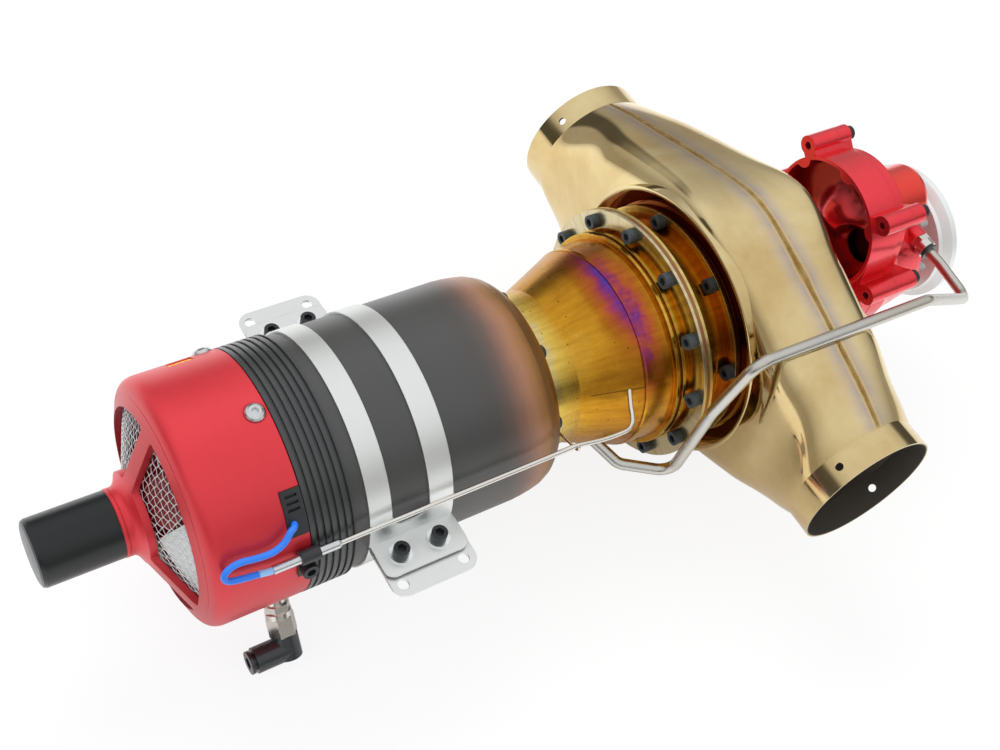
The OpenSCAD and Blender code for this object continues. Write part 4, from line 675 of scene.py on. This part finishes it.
# The outlines of the two valve blocks, seen from the front, in y and z.
large = np.array([(-13.6, 5.1), (-20.4, 20.8), (-30.5, 17.0), (-34.6, 3.0), (-32.5, -12.6), (-29.6, -12.9)])
small = np.array([(-3.0, 28.3), (0.8, 27.2), (1.5, 34.0), (-7.0, 33.2), (-7.2, 28.6)])
valves = piece("valve_blocks", [behind_gauze(o.mean(0), o) for o in (large, small)], valve_grey, "engine")
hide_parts("fuel_valves")

# ---------------- compressor section
# The ribbed ring is turned aluminium, hard-anodised black. The wheel, diffuser and shaft
# tunnel behind it are bare machined aluminium.
dress(anodised("black_anodised", "#404243", "#2d2f30", 0.36, 0.3, 0.0003, 0.35)[0], "front_ring")
dress(bare_metal("wheel_aluminium", "#c9ccd0", "#9fa3a8", 0.28),
      "compressor_wheel", "diffuser", "bearing_tunnel")

# ---------------- combustion case
# A deep-drawn steel can in satin black heat paint. Behind the straps the paint has baked
# brown, then copper, and the rolled lip has gone to bare straw gold.
# Temper colours of steel, from bare through straw, brown and purple to blue and grey.
temper, takes, gives = group("temper", [("Heat", 0.5)], ["Color"], "Color")
temper.links.new(ramp(temper, takes["Heat"], [
    (0.0, "#d9cda6"), (0.14, "#e2c25a"), (0.32, "#d0982b"), (0.46, "#b5741f"), (0.58, "#b9602f"),
    (0.68, "#a8455a"), (0.77, "#7a3a8c"), (0.86, "#5048b4"), (1.0, "#8793c4")]), gives["Color"])

case_black, tree, shader = material("case_black", Specular_IOR_Level=0.7, Coat_Weight=0.3, Coat_Roughness=0.42)
seat = place(tree, polar)
skin = place(tree, satin_skin, Roughness=0.4, Clouding=0.06, Grain=5200.0)
patchy = noise(tree, here(tree), 38.0, 5.0, 0.6)
# The baked zone reaches farther forward on top than underneath.
reach = muladd(tree, sums(tree, "COSINE", minus(tree, seat["Turn"], 0.5)), 0.0035,
               muladd(tree, minus(tree, patchy, 0.5), 0.006, seat["Along"]))
baked = spread(tree, reach, 0.034, 0.0595)
paint = ramp(tree, baked, [(0.0, "#373737"), (0.22, "#3b3633"), (0.42, "#554037"), (0.6, "#7f5642"),
                           (0.76, "#a4714f"), (0.9, "#a06f38"), (1.0, "#855924")])
tree.links.new(spread(tree, reach, 0.05, 0.0585, 0.0, 0.7), shader.inputs["Metallic"])
wired(tree, shader, mixed(tree, times(tree, skin["Cloud"], 0.25), paint, "#181818"),
      plus(tree, skin["Roughness"], spread(tree, reach, 0.05, 0.062, 0.0, -0.1)),
      skin["Height"], 0.000016, 0.0002)
dress(case_black, "engine_case")

# The parts in the hot gas are bare alloy, tinted and dulled.
hot_alloy, tree, shader = material("hot_alloy", Metallic=1.0)
skin = place(tree, satin_skin, Roughness=0.36, Clouding=0.1, Grain=2200.0)
stain = noise(tree, here(tree), 70.0, 5.0, 0.65)
tint = place(tree, temper, Heat=muladd(tree, stain, 0.7, 0.1))["Color"]
wired(tree, shader, mixed(tree, 0.45, tint, "#6f6962"), skin["Roughness"], skin["Height"], 0.00002, 0.0002)
dress(hot_alloy, "combustor", "nozzle_vanes", "turbine_wheel", "power_vanes", "power_wheel")

# ---------------- mounting straps
# Two half-rings of 0.75 mm stainless sheet, brushed round their length, clamped by four
# black socket screws over a mounting plate with rounded corners.
stainless, tree, shader = material("stainless", Metallic=1.0)
seat = place(tree, polar)
fine_lines = node(tree, "CombineXYZ", X=times(tree, seat["Along"], 5200.0),
                  Y=times(tree, seat["Turn"], 9.0), Z=times(tree, seat["Radius"], 90.0))
lines = noise(tree, fine_lines.outputs[0], 1.0, 4.0, 0.7)
skin = place(tree, satin_skin, Roughness=0.42, Clouding=0.05, Grain=2600.0)
wired(tree, shader, mixed(tree, lines, "#e4e7e6", "#f4f6f5"),
      muladd(tree, lines, 0.06, minus(tree, skin["Roughness"], 0.03)), lines, 0.000003, 0.0002)
dress(stainless, "mount_strap", "mount_cradle")
dress(bare_metal("zinc_plate", "#f6fafa", "#e6ecec", 0.2, 0.00015), "strap_washers", "strap_nuts")

# ---------------- socket screws
# Alloy-steel cap screws, oxide black and gone grey-blue near the turbine. Their heads are
# knurled: the knurl is a wave round each screw's own axis.
RIDGES = 26.0
knurl, takes, gives = group("knurl", [("Count", 12.0), ("First", 0.0), ("Circle", 0.0446)], ["Height"])
round_it = place(knurl, polar)
pitch = sums(knurl, "DIVIDE", 2 * math.pi, takes["Count"])
half = times(knurl, pitch, 0.5)
# The angle from the nearest screw, and the point's place seen from that screw's axis.
lean = minus(knurl, plus(knurl, round_it["Turn"], math.pi / 2), takes["First"])
fold = minus(knurl, sums(knurl, "FLOORED_MODULO", plus(knurl, lean, half), pitch), half)
side = times(knurl, round_it["Radius"], sums(knurl, "SINE", fold))
out = minus(knurl, times(knurl, round_it["Radius"], sums(knurl, "COSINE", fold)), takes["Circle"])
wave = sums(knurl, "SINE", times(knurl, sums(knurl, "ARCTAN2", side, out), RIDGES))
knurl.links.new(muladd(knurl, wave, 0.5, 0.5), gives["Height"])


def socket_screws(name, light, dark, count, first, circle, *names):
    """Black oxide steel with a knurl, for `count` screws on a circle; `first` is in degrees."""
    made, tree, shader = material(name, Metallic=0.55, Specular_IOR_Level=0.5)
    skin = place(tree, satin_skin, Roughness=0.46, Clouding=0.12, Grain=2600.0)
    ridges = place(tree, knurl, Count=count, First=math.radians(first), Circle=circle / 1000)["Height"]
    oxide = mixed(tree, muladd(tree, ridges, 0.4, times(tree, skin["Cloud"], 0.6)), dark, light)
    wired(tree, shader, oxide, skin["Roughness"], ridges, 0.00012, 0.00025)
    dress(made, *names)


socket_screws("flange_screw_grey", "#5d666c", "#343a3f", 12.0, 13.4, 44.6, "flange_screws")
socket_screws("collar_screw_grey", "#4c5257", "#2a2e32", 8.0, 22.25, 43.1, "collar_screws")
socket_screws("cone_screw_grey", "#4a5054", "#26292c", 8.0, 67.5, 33.0, "cone_screws")
dress(satin("screw_black", "#3c4043", "#1d2022", 0.38, 0.12, 2600.0, 0.00004, 0.00025,
            Metallic=0.5, Specular_IOR_Level=0.5)[0], "strap_screws", "gearbox_screws", "clip_screw")

# ---------------- cone between the turbines
# Spun heat-resisting sheet, 0.8 mm, bright at its neck and tempered gold to amber, with a
# purple and blue flare towards its rear edge on top. Soot specks and one weld seam.


def tempered(name, heat_of, rough, seam_at=None, speckle=0.0):
    """Heat-tinted sheet: heat_of(tree, seat, stain, blotch) gives the tint's heat at each place.
    `seam_at` is the turn of a weld seam in degrees, and `speckle` how dark the soot specks are."""
    made, tree, shader = material(name, Metallic=1.0)
    seat = place(tree, polar)
    space = here(tree)
    stain = noise(tree, space, 46.0, 6.0, 0.62, 0.6)
    blotch = noise(tree, space, 130.0, 4.0, 0.6, 0.3)
    colour = place(tree, temper, Heat=heat_of(tree, seat, stain, blotch))["Color"]
    stretched = node(tree, "CombineXYZ", X=times(tree, seat["Along"], 60.0), Y=times(tree, seat["Turn"], 14.0))
    streak = noise(tree, stretched.outputs[0], 1.0, 4.0, 0.6)
    colour = mixed(tree, spread(tree, streak, 0.35, 0.75, 0.0, 0.35), colour, "#7d4d1b", "MULTIPLY")
    if speckle:
        dots = node(tree, "TexVoronoi", Vector=space, Scale=260.0).outputs["Distance"]
        colour = mixed(tree, spread(tree, dots, 0.05, 0.11, speckle, 0.0), colour, "#4a3418")
    if seam_at is not None:
        off = sums(tree, "ABSOLUTE", minus(tree, seat["Turn"], math.radians(seam_at)))
        line = times(tree, spread(tree, off, 0.004, 0.012, 0.75, 0.0),
                     spread(tree, seat["Along"], 0.0785, 0.0795))
        colour = mixed(tree, line, colour, "#5a3c14")
    marks = place(tree, lathe_marks, Pitch=0.0006, Waver=0.4)
    wired(tree, shader, colour, muladd(tree, marks["Mark"], 0.1, muladd(tree, blotch, 0.14, rough)),
          marks["Height"], 0.00002, 0.0002)
    return made


def flare(tree, seat, blotch, turn, narrow, along, patches):
    """A patchy flare of heat that peaks at a turn in degrees and grows along the axis."""
    near = sums(tree, "COSINE", minus(tree, seat["Turn"], math.radians(turn)))
    grown = times(tree, spread(tree, near, narrow, 1.0), spread(tree, seat["Along"], *along))
    return times(tree, grown, spread(tree, blotch, *patches, 1.0))


def cone_heat(tree, seat, stain, blotch):
    """Pale neck, gold body, and a flare that peaks at the rear edge a little past the top."""
    along = spread(tree, seat["Along"], 0.0665, 0.077, 0.09, 0.32)
    body = plus(tree, along, spread(tree, seat["Along"], 0.078, 0.0976, 0.0, 0.12))
    patchy = flare(tree, seat, blotch, 2, 0.7, (0.0868, 0.097), (0.25, 0.6, 0.62))
    heat = muladd(tree, patchy, 0.42, body)
    return muladd(tree, minus(tree, stain, 0.5), 0.3, heat)


dress(tempered("cone_tinted", cone_heat, 0.16, 62, 0.8), "interstage_cone")

# ---------------- turbine cases and flanges
# The power turbine's case and its two bolted flanges: machined heat-resisting alloy with a
# mirror finish, straw gold on the flanges' rims and dark amber inside them.


def case_heat(tree, seat, stain, blotch):
    """Copper and purple near the cone on top, gold below; the flanges' rims are the palest."""
    patchy = flare(tree, seat, blotch, 18, 0.5, (0.11, 0.101), (0.3, 0.6, 0.45))
    heat = muladd(tree, patchy, 0.44, 0.34)
    rim = spread(tree, seat["Radius"], 0.0408, 0.0422, 0.0, -0.36)
    return plus(tree, muladd(tree, minus(tree, stain, 0.5), 0.3, heat), rim)


dress(tempered("turbine_tinted", case_heat, 0.1), "turbine_case")


def power_heat(tree, seat, stain, blotch):
    """Dark amber between the flanges, straw on their rims."""
    rim = spread(tree, seat["Radius"], 0.0432, 0.0438, 0.0, -0.34)
    return plus(tree, muladd(tree, minus(tree, stain, 0.5), 0.26, 0.44), rim)


dress(tempered("power_tinted", power_heat, 0.1), "power_case")

# ---------------- exhaust duct
# Two pressed shells of 1 mm heat-resisting sheet, mirror polished to champagne gold and
# butt-welded along the top and the bottom. A ring with a coned dish is welded round its
# front opening, and a short spigot with a locking hole closes each end.
DUCT_X, DUCT_Z, SHELL_END, DISH_R, BORE_R = 159.4, 1.4, 87.0, 52.6, 12.9
TENT_TOP, TENT_SLOPE, RIDGE_R, HALF_WIDTH = 61.2, 0.35801, 4.5, 25.8
# Stations along an arm where it starts to widen, to be waisted and to be drawn in.
WIDENS, WAISTED, DRAWN_IN = 24, 58, 68
# No opening lies within this distance of the duct's middle plane.
PLAIN = 10


def along_arm(y, start):
    """How far y lies out along an arm, from 0 at the station `start` to 1 at the shell's end."""
    return np.clip((np.abs(y) - start) / (SHELL_END - start), 0, 1)


def half_height(y):
    """Half the duct's height at y: a tent with a rounded ridge, top - sqrt((slope y)2 + ridge2),
    less what it is drawn in towards each spigot."""
    fall = np.sqrt((TENT_SLOPE * y) ** 2 + RIDGE_R ** 2)
    return TENT_TOP - fall - DUCT_Z - 1.45 * along_arm(y, DRAWN_IN) ** 2


def duct_skin(stations, columns, wall):
    """Rings of a superellipse |x/a|n + |z/b|n = 1 whose power falls from 12 at the middle to 2
    at the spigots. Points are spaced by length and by turn, so the tight corners get more."""
    y = stations[:, None]
    n = 2 + 4.6 * (1 - along_arm(y, 0)) + 5.4 * np.exp(-(y / 15) ** 2)
    waist = 1.7 * np.sin(np.pi * along_arm(y, WAISTED)) ** 2
    a = HALF_WIDTH + along_arm(y, WIDENS) - waist - wall
    b = half_height(y) - wall
    turn = np.linspace(-np.pi, np.pi, 2881)[None]
    c, s = np.cos(turn), np.sin(turn)
    r = (np.abs(c / a) ** n + np.abs(s / b) ** n) ** (-1 / n)
    x, z = r * c, r * s
    step = np.hypot(np.diff(x, axis=1), np.diff(z, axis=1))
    bend = np.abs(np.diff(np.unwrap(np.arctan2(np.diff(z, axis=1), np.diff(x, axis=1))), axis=1))
    bend = np.pad(bend, ((0, 0), (1, 0)), "edge")
    gone = np.cumsum(step / step.sum(1, keepdims=True) + 0.7 * bend / bend.sum(1, keepdims=True), axis=1)
    gone = np.pad(gone / gone[:, -1:], ((0, 0), (1, 0)))
    want = np.linspace(0, 1, columns, endpoint=False)
    x, z = (np.stack([np.interp(want, g, row) for g, row in zip(gone, axis)]) for axis in (x, z))
    return np.stack([DUCT_X + x, np.broadcast_to(y, x.shape), DUCT_Z + z], -1)


def reach_and_rim(points):
    """Each point's distance from the shaft's line, and the radius of the hole it is beside: the
    dish's in front, the shaft's bore behind, none between."""
    from_middle = points[..., 0] - DUCT_X
    rim = np.where(from_middle < -PLAIN, DISH_R, np.where(from_middle > PLAIN, BORE_R, 0.0))
    return np.hypot(points[..., 1], points[..., 2]), rim


def opened(grid):
    """Draws the points inside the front opening and the shaft's bore out to their rims."""
    reach, rim = reach_and_rim(grid)
    out = np.where(reach < rim, rim / np.maximum(reach, 1e-6), 1.0)
    return np.concatenate([grid[..., :1], grid[..., 1:] * out[..., None]], -1)


def outside_openings(centres):
    """True for faces that are not across the front opening or the bore."""
    reach, rim = reach_and_rim(centres)
    return reach > rim - 0.004


exhaust_gold, tree, shader = material("exhaust_gold", Metallic=1.0)
seat, part = place(tree, polar), axes(tree)
stain = noise(tree, here(tree), 26.0, 5.0, 0.6, 0.4)
blotch = noise(tree, here(tree), 140.0, 4.0, 0.6)
champagne = mixed(tree, spread(tree, stain, 0.3, 0.7), "#c9ad76", "#e4d2a2")
# Polishing leaves a grey haze in a band beside the weld, and heat a gold line along it.
off_weld = sums(tree, "ABSOLUTE", minus(tree, part["X"], DUCT_X / 1000))
wander = muladd(tree, minus(tree, stain, 0.5), 0.003, off_weld)
weld = ramp(tree, spread(tree, wander, 0.0, 0.01), [
    (0.0, "#8f6a2a"), (0.07, "#9a7434"), (0.14, "#cdb487"), (0.24, "#a99fa6"), (0.5, "#bfb2ae"),
    (0.8, "#d8c8ae"), (1.0, "#e4d2ae")])
from_middle = sums(tree, "ABSOLUTE", part["Y"])
shells_only = spread(tree, from_middle, 0.088, 0.086)
seam = times(tree, spread(tree, wander, 0.0012, 0.0095, 0.85, 0.0), shells_only)
colour = mixed(tree, times(tree, seam, spread(tree, blotch, 0.3, 0.6, 0.5, 1.0)), champagne, weld)
# The shells are painted a deeper straw towards the bottom: a painted shade for the darker reflection on their
# undersides.
colour = mixed(tree, spread(tree, part["Z"], 0.03, -0.04, 0.0, 0.35), colour, "#b98a4a")
# The dish is tinted by heat and dulled.
dish = times(tree, spread(tree, seat["Radius"], 0.0519, 0.0515),
             spread(tree, seat["Along"], 0.1402, 0.1396))
heat = muladd(tree, sums(tree, "SINE", seat["Turn"]), -0.06, muladd(tree, stain, 0.24, 0.34))
hot = place(tree, temper, Heat=heat)["Color"]
colour = mixed(tree, dish, colour, mixed(tree, 0.5, hot, "#33200f"))
# Soot blackens the inside of the spigots.
from_axis = length(tree, minus(tree, part["X"], DUCT_X / 1000), minus(tree, part["Z"], DUCT_Z / 1000))
inside = times(tree, spread(tree, from_axis, 0.0264, 0.0261), spread(tree, from_middle, 0.0868, 0.0871))
tree.links.new(minus(tree, 1.0, inside), shader.inputs["Metallic"])
polish = plus(tree, muladd(tree, blotch, 0.08, 0.045), muladd(tree, seam, 0.1, times(tree, inside, 0.5)))
wired(tree, shader, mixed(tree, inside, colour, "#433e37"), polish, noise(tree, here(tree), 26.0, 2.0), 0.00016)
dress(exhaust_gold, "outlet_collars")

outer = duct_skin(np.linspace(-SHELL_END, SHELL_END, 170), 400, 0.0)
inner = duct_skin(np.linspace(SHELL_END, -SHELL_END, 40), 400, 0.5)
LIP = 133.4
dish_ring = turned([(LIP + x, r) for x, r in (
    (-0.2, 51.8), (-0.4, 52.1), (-0.5, 52.6), (-0.4, 53.1), (-0.1, 53.4), (4.6, 53.4), (6.2, 47), (6.2, 38.8),
    (0, 38.8), (0, 45.6), (5, 45.6), (5, 46.4))], 240)
shells = piece("duct_shells", [opened(np.vstack([outer, inner]))], exhaust_gold, "engine",
               wraps=(True, True), keep=outside_openings)
liner = np.vstack([duct_skin(np.linspace(-SHELL_END, SHELL_END, 60), 240, 0.52),
                   duct_skin(np.linspace(SHELL_END, -SHELL_END, 60), 240, 1.0)])
soot = moulded("duct_soot", "#7a7166", "#5c544a", 0.5)
lining = piece("duct_lining", [opened(liner)], soot, "engine", wraps=(True, True),
               keep=outside_openings)
ring = piece("duct_dish", [dish_ring], exhaust_gold, "engine", wraps=(True, True))
# The weld bead: its thickness is lumpy, it drifts sideways, and it is dressed down at the ridge.
y = np.linspace(-SHELL_END + 0.6, SHELL_END - 0.6, 700)
lump = 0.40 + 0.1 * np.abs(np.sin(np.pi * y / 1.15)) + 0.05 * np.sin(1.7 * y + 2 * np.sin(0.31 * y))
drift = 0.12 * np.sin(0.55 * y) + 0.08 * np.sin(1.31 * y + 1)
sunk = 0.12 + 0.36 * np.exp(-(y / 9) ** 2)
beads = [bar(np.stack([DUCT_X + drift, y, DUCT_Z + s * (half_height(y) - sunk)], -1), lump, 10, (1, 0, 0))
         for s in (1, -1)]
welds = piece("duct_welds", beads, exhaust_gold, "engine", sharp=60)
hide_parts("exhaust_duct")
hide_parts("exhaust_duct")
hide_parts("exhaust_duct")
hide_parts("exhaust_duct")

# ---------------- gearbox
# Front and rear castings in red-anodised aluminium, machined all over, with a polished cap
# over the layshaft's end. The shaft tunnel from the power turbine is dyed the same.
gear_red, tree, shader = anodised("gear_red", "#f4424e", "#dc2833", 0.2, 0.8, 0.0005, 0.35)
# The pocket in front of the web is painted a deeper red the deeper it goes, and behind the web the castings are
# painted near black: both are painted shade. Both lie within 25 mm of the layshaft's line.
LAY_Z = 28.0
part = axes(tree)
from_lay = length(tree, part["Y"], minus(tree, part["Z"], LAY_Z / 1000))
pocket = times(tree, spread(tree, from_lay, 0.02515, 0.02505),
               spread(tree, part["X"], 0.2228, 0.2225))
overlaid(tree, shader, times(tree, pocket, spread(tree, part["X"], 0.2054, 0.2110, 0.0, 0.85)), "#7c0811")
# Painted shadow behind the web, seen through the oil bore.
overlaid(tree, shader, times(tree, pocket, spread(tree, part["X"], 0.2136, 0.2138)), "#140405")
dress(gear_red, "gear_case", "output_housing", "power_tunnel")
dress(anodised("red_polished", "#f2493a", "#df3128", 0.2, 0.8, 0.0003, 0.4)[0], "bearing_cap")

# The web's face is milled to soft, waisted bosses that carry the layshaft's bearing: hills of
# height h exp(-d2 / spot), the largest flat-topped, that fade out at the rim, at the shaft's
# bore and at the oil bore.
WEB_X, WEB_R, SHAFT_BORE, OIL_BORE, OIL_Y, OIL_Z = 213.1, 24.95, 16.3, 7.1, -15.1, 26.6
r, a = np.linspace(0, WEB_R, 60)[:, None], np.linspace(0, 2 * np.pi, 200, endpoint=False)[None]
y, z = r * np.cos(a), LAY_Z + r * np.sin(a)
boss = 6.4 * np.exp(-(((y + 2) ** 2 + (z - 33) ** 2) / 90) ** 1.6)
for height, y0, z0, spot in ((3.6, -13, 39, 26), (3.8, 9, 24, 50), (-2.6, -7, 41, 14)):
    boss += height * np.exp(-((y - y0) ** 2 + (z - z0) ** 2) / spot)
boss *= np.clip((WEB_R - r) / 3, 0, 1) * np.clip((np.hypot(y, z) - SHAFT_BORE - 0.1) / 4, 0, 1)
boss *= np.clip((np.hypot(y - OIL_Y, z - OIL_Z) - OIL_BORE - 0.1) / 3, 0, 1)
front = np.stack([WEB_X - 0.08 - boss, y, z], -1)
back = np.stack([np.full(boss.shape, WEB_X + 0.3), y, z], -1)


def on_web(centres):
    """True for faces clear of the shaft's bore and of the oil bore."""
    y, z = centres[:, 1], centres[:, 2]
    return (np.hypot(y, z) > SHAFT_BORE) & (np.hypot(y - OIL_Y, z - OIL_Z) > OIL_BORE)


piece("gear_web", [np.vstack([front, back[::-1]])], gear_red, "engine", keep=on_web)

# ---------------- propeller flange
# Machined aluminium, left bare. It is pressed on the output shaft, and the propeller is
# bolted through its six holes.
dress(bare_metal("prop_silver", "#f5f8f8", "#e4e9ea", 0.42, 0.0003, 0.00025, 0.55), "prop_flange")

# ---------------- oil tube
# 4.4 mm stainless tube from a push-in fitting on the gearbox to a boss on the cone, bent
# on a former of 7 mm radius. Its collar is nickel-plated brass with a black release ring.
TUBE_R, FORMER_R = 2.2, 7


def bent(points, bend, steps):
    """A path through points with each corner rounded to a radius `bend`: with unit legs p, q and
    the angle t between them the arc's centre is the corner - bend (p tan(t/2) + u), and the arc
    is centre + bend (u cos + p sin)."""
    p = np.asarray(points, float)
    line = [p[:1]]
    legs = np.diff(p, axis=0) / np.linalg.norm(np.diff(p, axis=0), axis=1, keepdims=True)
    for corner, one, two in zip(p[1:-1], legs[:-1], legs[1:]):
        t = math.acos(one @ two)
        w = np.cross(one, two) / np.linalg.norm(np.cross(one, two))
        u = np.cross(one, w)
        a = np.linspace(0, t, steps)[:, None]
        line.append(corner - one * bend * math.tan(t / 2) - u * bend + bend * (np.cos(a) * u + np.sin(a) * one))
    return np.vstack(line + [p[-1:]])


def drawn_steel(name, light, dark, rough):
    """Drawn stainless: faint lines along and a slow cloud of straw."""
    made, tree, shader = satin(name, light, dark, rough, 0.06, 1800.0, 0.00001, Metallic=1.0)
    overlaid(tree, shader, spread(tree, noise(tree, here(tree), 34.0, 4.0), 0.45, 0.8, 0.0, 0.25), "#d2b184")
    return made


tube_steel = drawn_steel("tube_steel", "#d6d5d0", "#bcbab4", 0.28)
tube_line = bent([(246.2, -14.2, 20), (246.2, -32, 20), (243.6, -50.6, 20), (206, -54.6, 40.44),
                  (119.6, -56, 47.35), at(111.8, 159.6, 57.4), at(108.5, -160.9, 55.03),
                  at(92, -155.45, 44.52), at(84.6, -155.16, 29.75)], FORMER_R, 12)
oil_tube = piece("oil_pipe", [bar(tube_line, TUBE_R, 40, (0.6, 0.6, 0.5))], tube_steel, "engine")
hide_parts("oil_tube")
dress(bare_metal("nickel", "#eceae6", "#cbc6be", 0.17, 0.0002, 0.0002), "tube_fitting", "elbow_stem")
dress(moulded("fitting_black", "#2b3034", "#1a1e21", 0.28, 1800.0, 0.3),
      "elbow_body", "tube_collet", "release_collet")

# ---------------- temperature probe
# A 1.8 mm sheathed thermocouple from its crimped ferrule beside the skirt, along the case
# and through a clip of bent wire into the cone.
SHEATH_R, HOOK_X, HOOK_WIRE, HOOK_BEND, CONE_R = 0.9, 62.3, 0.5, 1.5, 36.4
probe_line = np.vstack([[(-33.7, -43.10, 14.85)], through([
    (58, -43.10, 14.85), (63, -43.14, 14.75), at(74, 163.6, 45.66), at(83.5, 164.75, 45.2),
    at(87.2, 164.3, 43.9), at(88.9, 162.3, 41.9), at(90.3, 158.3, 38.7), at(93.1, 150.13, 34.13)], 12)])
sheath_steel = drawn_steel("sheath_steel", "#efeeeb", "#dddbd6", 0.22)
sheath = piece("probe_sheath", [bar(probe_line, SHEATH_R, 28, (0, -0.45, 0.9))], sheath_steel,
               "engine")
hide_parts("probe_rod")
# The hook's straight leg starts just inside the cone's neck and its end curls over the sheath.
probe_yz = np.array([probe_y, probe_z])
away = probe_yz / np.linalg.norm(probe_yz)
side = np.array([-away[1], away[0]])
a = np.radians(np.arange(0, 121, 6))[:, None]
hook_yz = np.vstack([away * CONE_R * 0.98 + side * HOOK_BEND,
                     probe_yz + HOOK_BEND * (np.cos(a) * side + np.sin(a) * away)])
hook_line = np.column_stack([np.full(len(hook_yz), HOOK_X), hook_yz])
hook = piece("wire_clip", [bar(hook_line, HOOK_WIRE, 16, (1, 0, 0))], sheath_steel, "engine")
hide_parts("wire_hook")
dress(bare_metal("ferrule_steel", "#e4e6e8", "#bfc3c6", 0.2, 0.0002), "probe_ferrule")
dress(moulded("clip_black", "#303235", "#1f2123", 0.42), "probe_clip")
